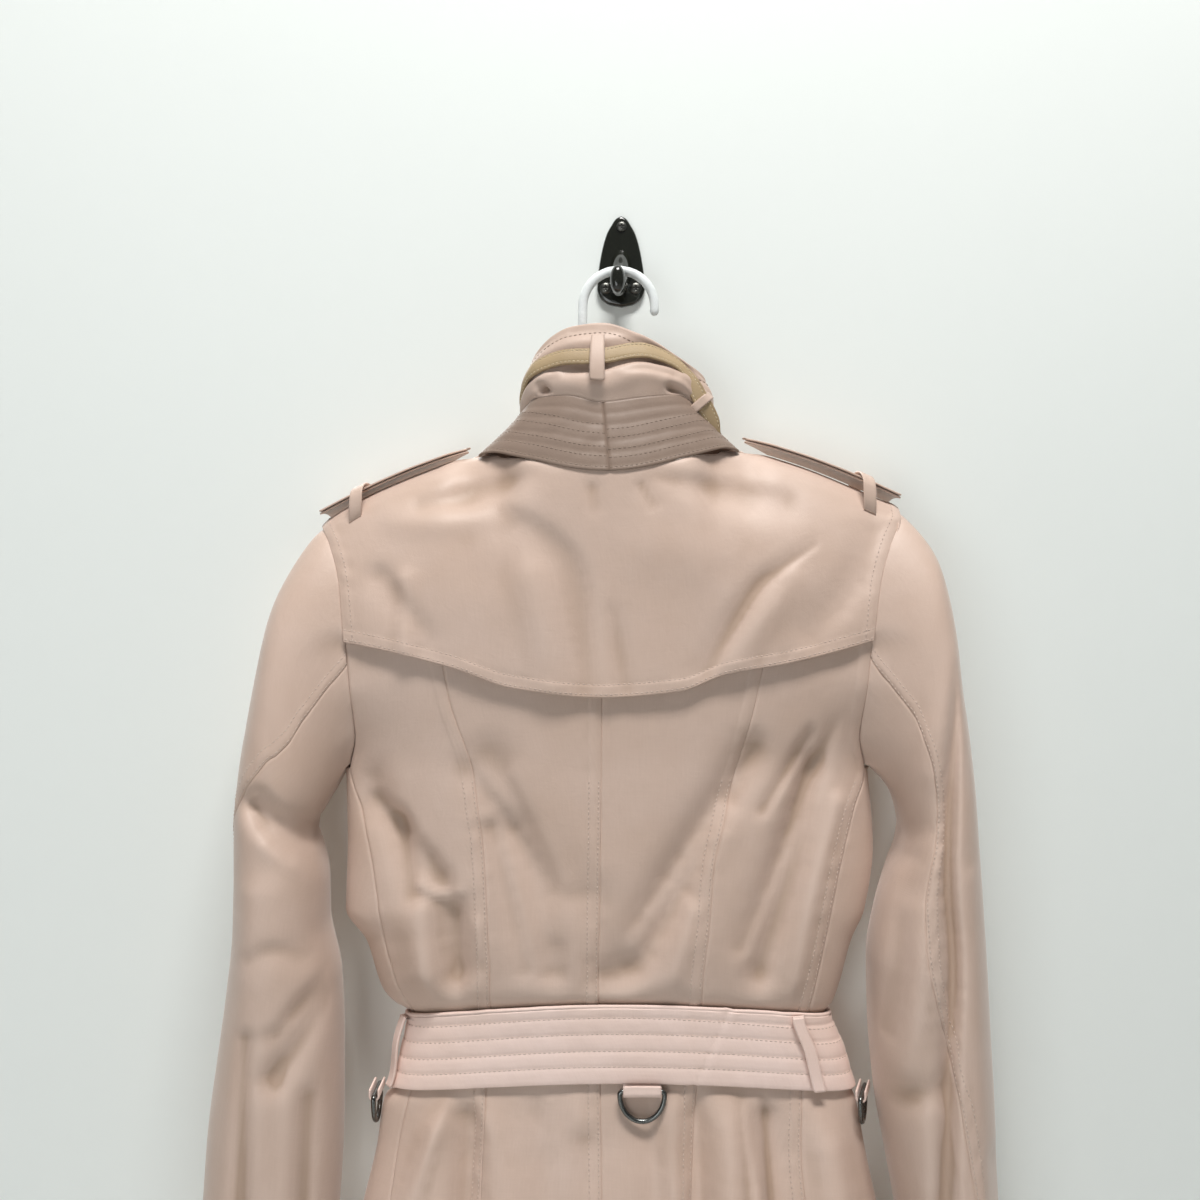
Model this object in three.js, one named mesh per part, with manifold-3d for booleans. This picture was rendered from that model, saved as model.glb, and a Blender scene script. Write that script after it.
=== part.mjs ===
// A belted trench coat on a plastic hanger, hung on a wall hook with its back to the room.
//
// Frame: millimetres, +Z up, +X to the right of someone who faces the wall.
// The wall is the plane y = 0 and everything lies in front of it, at y < 0.
// The origin is the centre of the hook plate's back face.
//
// Every cloth piece is a wall between an outer and an inner surface. The torso is one
// surface: rings below the underarm, and above it a yoke that runs up to the shoulder
// and neck seams. Panels are stretches of that surface between seam lines.

import * as THREE from "three";
import Module from "manifold-3d";
import { mergeVertices } from "three/addons/utils/BufferGeometryUtils.js";

const wasm = await Module();
wasm.setup();

// ---------------------------------------------------------------- driving sizes

const CLOTH = 2;
const SEAM_GAP = 0.3;

const HEM_Z = -1000;
const UNDERARM_Z = -352;
const ROUNDNESS = 2.6;

const NECK = { x: -9, y: -35, wide: 82, back: 43, front: 21, backZ: -156, frontZ: -200 };
const NECK_LIFT = 18.5;
const NECK_TILT = 1.5;
const SHOULDER_GAP = 0.4;

const BELT = { z: -534, wide: 54, thick: 2.6, stand: 2.2, sag: 11.5 };
const LAP = { shift: 3.5, clear: 8, ramp: 34 };
const FRONT_EDGE = { left: 52, right: -74 };

const HANGER = { y: -28, wire: 3.5, hookX: -2, hookZ: -37.3, hookR: 25 };
const PLATE_THICK = 4;
const RING = { wide: 33, tall: 23, wire: 1.7, corner: 2, drop: 4.5 };
const TAB = { wide: 24.4, bore: 2.15, wall: 1.5 };

// ---------------------------------------------------------------- tables

function table(columns, rows) {
  const names = columns.split(" ");
  return rows.map((row) => Object.fromEntries(names.map((name, i) => [name, row[i]])));
}

// Torso rings from the hem up to the underarm: the left and right reach, the middle of
// the back and of the front, and how far from the wall the sides lie.
const BODY = table("z left right back front side", [
  [-1000, -242, 240, -108, -13, -56],
  [-900, -224, 222, -103, -13, -54],
  [-785, -203, 201, -96, -13, -50],
  [-700, -187, 185, -90, -13, -47],
  [-640, -176, 173, -82, -13, -45],
  [-600, -167, 165, -73, -13, -43],
  [-568, -162, 159, -69, -17, -42],
  [-560, -154, 155, -68, -18, -42],
  [-534, -146, 147, -68, -18, -42],
  [-510, -142, 138, -69, -18, -42],
  [-503, -154, 143, -74, -16, -42],
  [-493, -163, 147, -77, -13, -42],
  [-460, -174, 156, -80, -13, -43],
  [-440, -188, 165, -80, -13, -43],
  [-400, -187, 171, -79, -13, -42],
  [-352, -188, 167, -78, -13, -42],
]);

// Seam lines of the back, as x at each height. The side seams run from the armhole to
// the hem; the others carry on under the storm flap to the neck or the shoulder.
const SEAMS = table("z centre shapeLeft shapeRight sideLeft sideRight", [
  [-1000, -12, -118, 62, -180, 160],
  [-785, -13, -105, 52, -166, 138],
  [-645, -14, -95, 45, -155, 121],
  [-602, -14.5, -93, 47, -151, 118],
  [-564, -15, -91, 49, -143, 120],
  [-534, -15.5, -90, 50, -134, 122],
  [-508, -16, -88, 52, -141, 125],
  [-488, -16, -88, 53, -151, 129],
  [-454, -15.5, -89, 57, -160, 136],
  [-416, -15, -91, 60, -166, 144],
  [-376, -14.5, -96, 70, -176, 155],
  [-352, -14.3, -100, 76, -184, 164],
  [-304, -14, -115, 88, -184, 164],
  [-200, -13.5, -128, 105, -184, 164],
  [-130, -13.4, -130, 108, -184, 164],
]);

// The armhole seam on each side.
const ARMHOLE = table("z left right", [
  [-352, -184, 164],
  [-331, -178.5, 158.5],
  [-301, -180, 161],
  [-268, -183, 164.5],
  [-230, -187, 170],
  [-205, -195, 178],
  [-188, -205.5, 187],
]);

// The shoulder seams, outside the neck.
const SHOULDER = table("x z", [
  [-206, -192],
  [-176, -174],
  [-152, -163],
  [-106, -145],
  [-91, -139],
  [73, -136],
  [91, -142.5],
  [126, -154],
  [159, -167.5],
  [188, -180],
]);

// The free lower edge of the storm flap.
const FLAP_EDGE = table("x z", [
  [-184, -268],
  [-171, -270],
  [-113, -284],
  [-72, -298],
  [-15, -304],
  [38, -300],
  [67, -289],
  [106, -282],
  [149, -271],
  [166, -266],
]);

// Sleeve rings from the armhole to the cuff: the outer and the inner end of each ring,
// its distance from the wall, and half its depth.
const SLEEVE_COLUMNS = "row outX outZ inX inZ mid half";
const SLEEVE_LEFT = table(SLEEVE_COLUMNS, [
  [0, -205.5, -188, -187, -352, -42, 34],
  [1, -216, -203, -191, -362, -45, 38],
  [2, -228, -228, -194, -369, -48, 42],
  [3, -237, -253, -198, -376, -51, 44],
  [4, -243.5, -285, -202, -383, -53, 46],
  [5, -249.5, -320, -206, -390, -54, 47],
  [6, -254.5, -352, -207, -399, -55, 47],
  [7, -257.5, -388, -203, -409, -56, 48],
  [8, -257.5, -425, -199, -428, -57, 48],
  [9, -258, -458, -198, -455, -58, 48],
  [10, -262, -495, -190, -492, -58, 48],
  [11, -268, -538, -188, -534, -58, 48],
  [12, -275, -590, -188, -586, -58, 48],
  [13, -279.5, -650, -191, -648, -58, 48],
  [14, -285, -705, -199, -703, -58, 48],
  [15, -291, -748, -206, -746, -58, 48],
  [16, -296, -788, -212, -786, -58, 48],
]);
const SLEEVE_RIGHT = table(SLEEVE_COLUMNS, [
  [0, 187, -176, 167, -352, -42, 34],
  [1, 199, -190, 172.5, -358, -45, 38],
  [2, 210, -208, 177, -363, -48, 42],
  [3, 217.5, -234, 181.5, -370, -51, 44],
  [4, 222, -262, 184.5, -378, -53, 46],
  [5, 225, -294, 186.5, -386, -54, 47],
  [6, 229.5, -328, 188, -396, -55, 47],
  [7, 233, -362, 186, -408, -56, 48],
  [8, 235.5, -398, 179, -424, -57, 49],
  [9, 238.5, -440, 171.5, -446, -58, 49],
  [10, 241.5, -486, 165.5, -481, -58, 50],
  [11, 243.5, -524, 166, -518, -58, 50],
  [12, 246, -570, 170, -568, -58, 50],
  [13, 247.5, -612, 177, -609, -58, 50],
  [14, 250, -654, 185, -652, -58, 50],
  [15, 257, -718, 197, -716, -58, 50],
  [16, 266, -788, 210, -785, -58, 50],
]);

// The sleeve's back seam, as the angle round the ring at each row.
const SLEEVE_SEAM = {
  left: table("row angle", [[0, 101], [2.7, 95], [4.6, 75], [5.8, 60], [7.2, 15], [8.5, 0], [16, -8]]),
  right: table("row angle", [[0, 101], [5, 74], [8.5, 95], [9.3, 88], [11.3, 68], [16, 60]]),
};
const FRONT_SLEEVE_SEAM = 250;

// The collar round the neck, by angle from the centre back: the seam between stand and
// leaf, and the free edge of the leaf, which is turned up.
const COLLAR = table("turn seamX seamY seamZ edgeX edgeY edgeZ", [
  [-150, -40, -12, -150, -30, -13, -122],
  [-120, -61, -19, -134, -51, -19, -99],
  [-90, -68, -40, -118, -62, -38, -82],
  [-60, -59, -60, -106, -54, -52, -69],
  [-30, -38, -70, -105, -34, -60, -58],
  [0, -13, -73, -110, -13, -62, -56],
  [30, 11, -71, -107, 11, -61, -63],
  [60, 38, -62, -104, 37, -54, -77],
  [90, 57, -42, -122, 57, -41, -92],
  [120, 52, -20, -138, 48, -20, -107],
  [150, 33, -12, -153, 28, -13, -125],
]);
const LEAF_BULGE = 6;

// Height of the neck strap on the collar leaf, from the seam (0) to the edge (1).
const STRAP_HEIGHT = table("turn height", [[-100, 0.3], [-60, 0.5], [0, 0.57], [35, 0.76], [60, 0.8], [80, 0.62]]);

// Large folds, as soft ridges (positive) and troughs (negative) along straight lines.
const FOLD_COLUMNS = "x1 z1 x2 z2 wide1 wide2 depth1 depth2";
const BACK_FOLDS = table(FOLD_COLUMNS, [
  [49, -566, 52, -700, 7, 12, -5, -9],
  [52, -700, 66, -1000, 12, 20, -9, -12],
  [72, -575, 74, -1000, 12, 26, 4, 9],
  [98, -580, 118, -1000, 8, 18, -4, -11],
  [136, -600, 168, -1000, 14, 30, 4, 10],
  [-120, -590, -150, -1000, 14, 28, 4, 11],
  [-106, -580, -108, -1000, 8, 18, -4, -10],
  [-60, -600, -68, -1000, 18, 32, 3, 9],
  [-26, -600, -30, -1000, 9, 16, -3, -9],
  [10, -620, 14, -1000, 14, 30, 2, 9],
  [-88, -344, -30, -430, 15, 15, -4, -4],
  [-73, -395, -50, -485, 14, 12, -4, -4],
  [86, -344, -4, -494, 16, 14, -5, -5],
  [62, -392, 10, -470, 10, 10, 3, 3],
  [126, -350, 92, -480, 14, 12, -4, -4],
  [-166, -360, -112, -480, 12, 12, -4, -4],
  [-140, -400, -134, -480, 10, 12, 3, 4],
]);
const FRONT_FOLDS = table(FOLD_COLUMNS, [
  [-110, -600, -140, -1000, 10, 22, -3, -8],
  [-30, -620, -40, -1000, 12, 26, 1, 4],
  [100, -600, 120, -1000, 10, 22, -3, -8],
  [90, -350, 20, -480, 16, 14, -3, -3],
  [-100, -350, -30, -480, 16, 14, -3, -3],
]);
const SLEEVE_FOLDS = {
  left: table(FOLD_COLUMNS, [
    [-240, -520, -250, -790, 6, 8, -3, -10],
    [-203, -560, -214, -790, 6, 8, -3, -10],
    [-238, -372, -200, -412, 8, 8, -7, -6],
    [-222, -545, -192, -500, 9, 8, -6, -4],
    [-226, -430, -226, -640, 14, 14, 3, 5],
  ]),
  right: table(FOLD_COLUMNS, [
    [213, -305, 207, -424, 5, 5, -7, -7],
    [207, -424, 210, -518, 5, 5, -7, -7],
    [210, -518, 204, -790, 6, 8, -7, -9],
    [186, -410, 170, -520, 7, 7, -5, -4],
    [240, -600, 248, -790, 7, 8, -3, -8],
    [192, -352, 196, -300, 9, 9, 3, 3],
  ]),
};
const SLEEVE_FRONT_FOLDS = {
  left: table(FOLD_COLUMNS, [
    [-236, -420, -250, -790, 10, 12, -4, -8],
    [-205, -420, -222, -790, 10, 12, 3, 5],
  ]),
  right: table(FOLD_COLUMNS, [
    [212, -420, 222, -790, 10, 12, -4, -8],
    [190, -480, 196, -790, 10, 12, 3, 4],
  ]),
};

// ---------------------------------------------------------------- small maths

const radians = THREE.MathUtils.degToRad;
const lerp = THREE.MathUtils.lerp;
const smooth = THREE.MathUtils.smoothstep;
const point = (x, y, z) => new THREE.Vector3(x, y, z);

function slopeAt(rows, key, column, i) {
  const step = (k) => (rows[k + 1][column] - rows[k][column]) / (rows[k + 1][key] - rows[k][key]);
  if (i === 0) {
    return step(0);
  }
  if (i === rows.length - 1) {
    return step(i - 1);
  }
  const [before, after] = [step(i - 1), step(i)];
  return before * after <= 0 ? 0 : (2 * before * after) / (before + after);
}

// A column of a table at a value of its key: smooth, without overshoot, held at the ends.
function read(rows, key, column, value) {
  const last = rows.length - 1;
  if (value <= rows[0][key]) {
    return rows[0][column];
  }
  if (value >= rows[last][key]) {
    return rows[last][column];
  }
  const i = rows.findIndex((row) => row[key] > value) - 1;
  const width = rows[i + 1][key] - rows[i][key];
  const t = (value - rows[i][key]) / width;
  const start = slopeAt(rows, key, column, i) * width;
  const end = slopeAt(rows, key, column, i + 1) * width;
  const [a, b] = [rows[i][column], rows[i + 1][column]];
  return a + t * (start + t * (3 * (b - a) - 2 * start - end + t * (2 * (a - b) + start + end)));
}

function steps(count, from = 0, to = 1) {
  return Array.from({ length: count + 1 }, (_, i) => lerp(from, to, i / count));
}

// The sum of a table's ridges and troughs at (x, z).
function relief(folds, x, z) {
  let sum = 0;
  for (const f of folds) {
    const [dx, dz] = [f.x2 - f.x1, f.z2 - f.z1];
    const along = ((x - f.x1) * dx + (z - f.z1) * dz) / (dx * dx + dz * dz);
    const t = THREE.MathUtils.clamp(along, 0, 1);
    const away = Math.hypot(x - f.x1 - t * dx, z - f.z1 - t * dz) / lerp(f.wide1, f.wide2, t);
    sum += lerp(f.depth1, f.depth2, t) * Math.exp(-away * away);
  }
  return sum;
}

// ---------------------------------------------------------------- surfaces to solids

function geometry(vertices, triangles) {
  const shape = new THREE.BufferGeometry();
  shape.setAttribute("position", new THREE.Float32BufferAttribute(vertices.flatMap((p) => p.toArray()), 3));
  let volume = 0;
  for (const [a, b, c] of triangles) {
    volume += vertices[a].dot(vertices[b].clone().cross(vertices[c]));
  }
  shape.setIndex(triangles.flatMap(([a, b, c]) => (volume > 0 ? [a, b, c] : [a, c, b])));
  return shape;
}

function normalAt(map, u, v, side) {
  const e = 1e-3;
  const [v0, v1] = [Math.max(0, v - e), Math.min(1, v + e)];
  const du = map(u + e, v).sub(map(u - e, v));
  const dv = map(u, v1).sub(map(u, v0));
  return du.cross(dv).normalize().multiplyScalar(side);
}

// The same surface moved out by a distance, or by a function of (u, v).
function raise(map, distance, side = 1) {
  const far = typeof distance === "function" ? distance : () => distance;
  return (u, v) => map(u, v).addScaledVector(normalAt(map, u, v, side), far(u, v));
}

function slab(outer, inner) {
  const [columns, rows] = [outer.length, outer[0].length];
  const vertices = [...outer.flat(), ...inner.flat()];
  const id = (layer, i, j) => layer * columns * rows + i * rows + j;
  const triangles = [];
  const quad = (a, b, c, d) => triangles.push([a, b, c], [a, c, d]);
  for (let i = 0; i + 1 < columns; i += 1) {
    for (let j = 0; j + 1 < rows; j += 1) {
      quad(id(0, i, j), id(0, i + 1, j), id(0, i + 1, j + 1), id(0, i, j + 1));
      quad(id(1, i, j), id(1, i, j + 1), id(1, i + 1, j + 1), id(1, i + 1, j));
    }
    quad(id(0, i, 0), id(1, i, 0), id(1, i + 1, 0), id(0, i + 1, 0));
    quad(id(0, i, rows - 1), id(0, i + 1, rows - 1), id(1, i + 1, rows - 1), id(1, i, rows - 1));
  }
  for (let j = 0; j + 1 < rows; j += 1) {
    quad(id(0, 0, j), id(0, 0, j + 1), id(1, 0, j + 1), id(1, 0, j));
    quad(id(0, columns - 1, j), id(1, columns - 1, j), id(1, columns - 1, j + 1), id(0, columns - 1, j + 1));
  }
  return geometry(vertices, triangles);
}

// A wall of cloth under the surface map(u, v), each edge drawn in by half a seam gap.
function cloth(map, us, vs, side = 1, thickness = CLOTH) {
  const outer = us.map((u) => vs.map((v) => map(u, v)));
  const inner = us.map((u, i) =>
    vs.map((v, j) => outer[i][j].clone().addScaledVector(normalAt(map, u, v, side), -thickness)));
  const pull = (line, next) => {
    const shift = next[0].clone().sub(line[0]).setLength(SEAM_GAP / 2);
    line.forEach((p) => p.add(shift));
  };
  const [lastU, lastV] = [us.length - 1, vs.length - 1];
  for (let j = 0; j <= lastV; j += 1) {
    pull([outer[0][j], inner[0][j]], [outer[1][j]]);
    pull([outer[lastU][j], inner[lastU][j]], [outer[lastU - 1][j]]);
  }
  for (let i = 0; i <= lastU; i += 1) {
    pull([outer[i][0], inner[i][0]], [outer[i][1]]);
    pull([outer[i][lastV], inner[i][lastV]], [outer[i][lastV - 1]]);
  }
  return slab(outer, inner);
}

// A round bar along points in one plane; a closed one has no ends.
function bar(points, planeNormal, radius, sides, closed = false) {
  const count = points.length;
  const vertices = [];
  const triangles = [];
  points.forEach((p, i) => {
    const before = points[closed ? (i + count - 1) % count : Math.max(0, i - 1)];
    const after = points[closed ? (i + 1) % count : Math.min(count - 1, i + 1)];
    const across = after.clone().sub(before).normalize().cross(planeNormal);
    for (let k = 0; k < sides; k += 1) {
      const angle = (2 * Math.PI * k) / sides;
      const out = across.clone().multiplyScalar(Math.cos(angle) * radius);
      vertices.push(p.clone().add(out).addScaledVector(planeNormal, Math.sin(angle) * radius));
    }
  });
  const spans = closed ? count : count - 1;
  for (let i = 0; i < spans; i += 1) {
    for (let k = 0; k < sides; k += 1) {
      const [a, b] = [i * sides + k, i * sides + ((k + 1) % sides)];
      const [c, d] = [((i + 1) % count) * sides + k, ((i + 1) % count) * sides + ((k + 1) % sides)];
      triangles.push([a, b, d], [a, d, c]);
    }
  }
  for (let k = 1; !closed && k + 1 < sides; k += 1) {
    const end = (count - 1) * sides;
    triangles.push([0, k + 1, k], [end, end + k, end + k + 1]);
  }
  return geometry(vertices, triangles);
}

function toManifold(shape) {
  const bare = new THREE.BufferGeometry();
  bare.setAttribute("position", shape.getAttribute("position"));
  if (shape.index) {
    bare.setIndex(shape.index);
  }
  const merged = mergeVertices(bare, 1e-4);
  return new wasm.Manifold(new wasm.Mesh({
    numProp: 3,
    vertProperties: new Float32Array(merged.getAttribute("position").array),
    triVerts: new Uint32Array(merged.index.array),
  }));
}

function combined(shapes, how = "add") {
  const solid = shapes.map(toManifold).reduce((whole, next) => whole[how](next));
  const mesh = solid.getMesh();
  const shape = new THREE.BufferGeometry();
  shape.setAttribute("position", new THREE.BufferAttribute(mesh.vertProperties, 3));
  shape.setIndex(new THREE.BufferAttribute(mesh.triVerts, 1));
  return shape;
}

// ---------------------------------------------------------------- materials

const paint = (color, roughness, metalness = 0) =>
  new THREE.MeshStandardMaterial({ color, roughness, metalness });
const finish = {
  coat: paint(0xcdb8ac, 0.7),
  collar: paint(0xb09c92, 0.72),
  belt: paint(0xdccac2, 0.68),
  strap: paint(0xb29b70, 0.55),
  steel: paint(0x484c4a, 0.28, 1),
  hanger: paint(0xeef2f2, 0.35),
  hook: paint(0x16170f, 0.2),
  screw: paint(0x8d8f88, 0.35, 1),
  button: paint(0x8a6f5c, 0.4),
};

const coat = new THREE.Group();

function add(name, shape, material) {
  const mesh = new THREE.Mesh(shape, material);
  mesh.name = name;
  coat.add(mesh);
}

// ---------------------------------------------------------------- the torso's surface

const flatten = (value) => Math.sign(value) * Math.abs(value) ** (2 / ROUNDNESS);

// How far the belt's height, and the rings near it, have sunk at the sides.
const nearBelt = (z) => 1 - smooth(Math.abs(z - BELT.z), 60, 240);

function ringSizes(z) {
  const row = Object.fromEntries(["left", "right", "back", "front", "side"]
    .map((name) => [name, read(BODY, "z", name, z)]));
  return { ...row, middle: (row.left + row.right) / 2, half: (row.right - row.left) / 2 };
}

// Turn 0 is the centre back, 1 the right side, -1 the left side and 2 the centre front.
function ringPoint(turn, z) {
  const size = ringSizes(z);
  const across = flatten(Math.sin(radians(90 * turn)));
  const out = flatten(Math.cos(radians(90 * turn)));
  const reach = out > 0 ? size.side - size.back : size.front - size.side;
  const x = size.middle + size.half * across;
  const y = size.side - reach * out;
  const facing = smooth(Math.abs(out), 0.05, 0.5);
  const drop = relief(out > 0 ? BACK_FOLDS : FRONT_FOLDS, x, z) * facing;
  const away = point(across / size.half, -out / reach, 0).normalize();
  const sunk = z - BELT.sag * across * across * nearBelt(z);
  return point(x, y, sunk).addScaledVector(away, drop);
}

function turnAt(x, z) {
  const size = ringSizes(z);
  const part = THREE.MathUtils.clamp((x - size.middle) / size.half, -1, 1);
  return (Math.sign(part) * Math.asin(Math.abs(part) ** (ROUNDNESS / 2))) / radians(90);
}

const neckPart = (x) => THREE.MathUtils.clamp((x - NECK.x) / NECK.wide, -1, 1);
const inNeck = (x) => Math.abs(x - NECK.x) < NECK.wide;

// Height of the top seam over x: the shoulder outside the neck, the neckline inside it.
function topZ(x, face) {
  if (!inNeck(x)) {
    return read(SHOULDER, "x", "z", x);
  }
  const part = neckPart(x);
  if (face === "back") {
    return NECK.backZ + NECK_LIFT * part * part + NECK_TILT * part;
  }
  const side = NECK.backZ + NECK_LIFT + NECK_TILT * part;
  return lerp(side, NECK.frontZ, 1 - part * part);
}

function topY(x, face) {
  if (face === "back") {
    return NECK.y - SHOULDER_GAP - NECK.back * Math.sqrt(1 - neckPart(x) ** 2);
  }
  return NECK.y + SHOULDER_GAP + NECK.front * Math.sqrt(1 - neckPart(x) ** 4);
}

// A point of the yoke: x, and the share w of the way from the underarm to the top seam.
function yokePoint(x, w, z, face) {
  const size = ringSizes(UNDERARM_Z);
  const part = THREE.MathUtils.clamp(Math.abs((x - size.middle) / size.half), 0, 1);
  const reach = face === "back" ? size.back - size.side : size.front - size.side;
  const ringY = size.side + reach * (1 - part ** ROUNDNESS) ** (1 / ROUNDNESS);
  const flatY = face === "back" ? size.back - 2 + 5 * part * part : size.front;
  const bodyY = lerp(ringY, flatY, smooth(w, 0, 0.35));
  const rollStart = face === "back" ? 0.5 : 0.75;
  const over = Math.max(0, (w - rollStart) / (1 - rollStart));
  const roll = 1 - Math.sqrt(Math.max(0, 1 - over * over));
  const folds = face === "back" ? BACK_FOLDS : FRONT_FOLDS;
  const drop = relief(folds, x, z) * (1 - smooth(w, 0, 0.3)) * smooth(1 - part, 0.02, 0.2);
  const y = lerp(bodyY, topY(x, face), roll) + (face === "back" ? -drop : drop);
  return point(x, y, z);
}

// Seam lines, each with its x at a height and its x where it meets the top seam.
const seam = (column) => (z) => read(SEAMS, "z", column, z);
const lines = {
  centre: { at: seam("centre"), top: -13.4 },
  shapeLeft: { at: seam("shapeLeft"), top: -130 },
  shapeRight: { at: seam("shapeRight"), top: 108 },
  armLeft: { at: (z) => (z > UNDERARM_Z ? read(ARMHOLE, "z", "left", z) : seam("sideLeft")(z)), top: -205.5 },
  armRight: { at: (z) => (z > UNDERARM_Z ? read(ARMHOLE, "z", "right", z) : seam("sideRight")(z)), top: 187 },
};

// A torso panel from hem to top between two lines. v is below 0.7 under the underarm.
const SPLIT = 0.7;
const heightAt = (v) => lerp(HEM_Z, UNDERARM_Z, v / SPLIT);

function torso(from, to, face) {
  return (u, v) => {
    const topX = lerp(from.top, to.top, u);
    if (v <= SPLIT) {
      const z = heightAt(v);
      const x = lerp(from.at(z), to.at(z), u);
      const turn = turnAt(x, z);
      return ringPoint(face === "back" ? turn : 2 - turn, z);
    }
    const w = (v - SPLIT) / (1 - SPLIT);
    const z = lerp(UNDERARM_Z, topZ(topX, face), w);
    return yokePoint(lerp(from.at(z), to.at(z), u), w, z, face);
  };
}

// Rows of the torso panels, closer together at the belt.
const ROW_Z = [-1000, -950, -900, -850, -800, -750, -702, -660, -625, -595, -568, -560,
  -534, -510, -503, -493, -470, -445, -415, -384];
const LOW_ROWS = ROW_Z.map((z) => (SPLIT * (z - HEM_Z)) / (UNDERARM_Z - HEM_Z));
const HIGH_ROWS = [0, 0.16, 0.34, 0.52, 0.7, 0.85, 0.95, 1].map((w) => SPLIT + (1 - SPLIT) * w);
const ROWS = [...LOW_ROWS, ...HIGH_ROWS];

// Columns of a panel that ends in the neck: one of them meets the neck point.
const neckColumn = (from, to, neckX) => (neckX - from) / (to - from);

function centreColumns() {
  const neckLeft = neckColumn(lines.shapeLeft.top, lines.centre.top, NECK.x - NECK.wide);
  const neckRight = neckColumn(lines.centre.top, lines.shapeRight.top, NECK.x + NECK.wide);
  return {
    left: [...steps(2, 0, neckLeft), ...steps(3, neckLeft, 1).slice(1)],
    right: [...steps(4, 0, neckRight), ...steps(2, neckRight, 1).slice(1)],
  };
}

function backPanels() {
  const columns = centreColumns();
  const centreLeft = torso(lines.shapeLeft, lines.centre, "back");
  const centreRight = torso(lines.centre, lines.shapeRight, "back");
  add("back_centre_left", cloth(centreLeft, columns.left, ROWS), finish.coat);
  add("back_centre_right", cloth(centreRight, columns.right, ROWS), finish.coat);
  add("back_side_left", cloth(torso(lines.armLeft, lines.shapeLeft, "back"), steps(4), ROWS), finish.coat);
  add("back_side_right", cloth(torso(lines.shapeRight, lines.armRight, "back"), steps(4), ROWS), finish.coat);
}

// The side panels wrap from the back seam to a front seam that mirrors it.
function sidePanels() {
  const rows = [...LOW_ROWS, SPLIT].map((v) => v / SPLIT);
  for (const [name, line, sign] of [["left", lines.armLeft, -1], ["right", lines.armRight, 1]]) {
    const map = (u, v) => {
      const z = lerp(HEM_Z, UNDERARM_Z, v);
      const back = Math.abs(turnAt(line.at(z), z));
      return ringPoint(sign * lerp(back, 2 - back, sign > 0 ? u : 1 - u), z);
    };
    add(`side_${name}`, cloth(map, steps(6), rows), finish.coat);
  }
}

// Columns that both fronts share where they lap, from one neck point to the other.
const FRONT_COLUMNS = [NECK.x - NECK.wide, FRONT_EDGE.right, -44, -14, 18, FRONT_EDGE.left, NECK.x + NECK.wide];

// The fronts lie against the wall and lap over each other, the right one outside.
function frontPanels() {
  const edge = (x) => ({ at: () => x, top: x });
  const leftMap = torso(lines.armLeft, edge(FRONT_EDGE.left), "front");
  const rightMap = torso(edge(FRONT_EDGE.right), lines.armRight, "front");
  const lapped = (u, v) => {
    const p = rightMap(u, v);
    p.y += LAP.shift * (1 - smooth(p.x, FRONT_EDGE.left + LAP.clear, FRONT_EDGE.left + LAP.ramp));
    return p;
  };
  const share = (x, from, to) => (x - from) / (to - from);
  const leftColumns = [0, share(-148, lines.armLeft.top, FRONT_EDGE.left),
    ...FRONT_COLUMNS.slice(0, -1).map((x) => share(x, lines.armLeft.top, FRONT_EDGE.left))];
  const rightColumns = [...FRONT_COLUMNS.slice(1).map((x) => share(x, FRONT_EDGE.right, lines.armRight.top)),
    share(108, FRONT_EDGE.right, lines.armRight.top), share(147, FRONT_EDGE.right, lines.armRight.top), 1];
  add("front_left", cloth(leftMap, leftColumns, ROWS, -1), finish.coat);
  add("front_right", cloth(lapped, rightColumns, ROWS, -1), finish.coat);
}

// ---------------------------------------------------------------- storm flap

// The flap hangs over the yoke from the shoulder and neck seams, free along its lower edge.
const FLAP = { stand: 3.6, lift: 6, inset: 1.5, neckDrop: 4, neckEase: 1.8 };

function flapPoint(u, v) {
  const seams = [lines.armLeft, lines.shapeLeft, lines.centre, lines.shapeRight, lines.armRight];
  const span = THREE.MathUtils.clamp(Math.floor(u), 0, 3);
  const [from, to, k] = [seams[span], seams[span + 1], u - span];
  const topX = lerp(from.top, to.top, k);
  const xAt = (z) => lerp(from.at(z), to.at(z), k);
  const low = read(FLAP_EDGE, "x", "z", xAt(-290));
  const drop = Math.abs(topX - NECK.x) < NECK.wide + SEAM_GAP ? FLAP.neckDrop : 0;
  const z = lerp(low, topZ(topX, "back") - drop, v);
  const w = (z - UNDERARM_Z) / (topZ(topX, "back") - UNDERARM_Z);
  const end = THREE.MathUtils.clamp(Math.abs(u - 2) - 1.9, 0, 0.1) * 10;
  const inset = FLAP.inset * end * Math.sign(u - 2);
  return yokePoint(xAt(z) - inset, w, z, "back");
}

function stormFlap() {
  const columns = centreColumns();
  const left = columns.left.map((k) => 1 + k);
  const right = columns.right.slice(1).map((k) => 2 + k);
  const us = [0, 0.25, 0.5, 0.75, ...left, ...right, 3.25, 3.5, 3.75, 4];
  const neckAt = [left[2], right[3]];
  const stand = (u, v) => {
    const ease = neckAt.reduce((sum, k) => sum + Math.exp(-(((u - k) / 0.2) ** 2)), 0) * smooth(v, 0.5, 0.8);
    const free = (1 - v) ** 2 * (1 - smooth(Math.abs(u - 2), 1.7, 2));
    return FLAP.stand + FLAP.neckEase * ease + FLAP.lift * free;
  };
  const map = raise(flapPoint, stand);
  add("storm_flap", cloth(map, us, [0, 0.12, 0.25, 0.4, 0.55, 0.7, 0.82, 0.92, 1]), finish.coat);
}

// ---------------------------------------------------------------- sleeves

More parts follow.
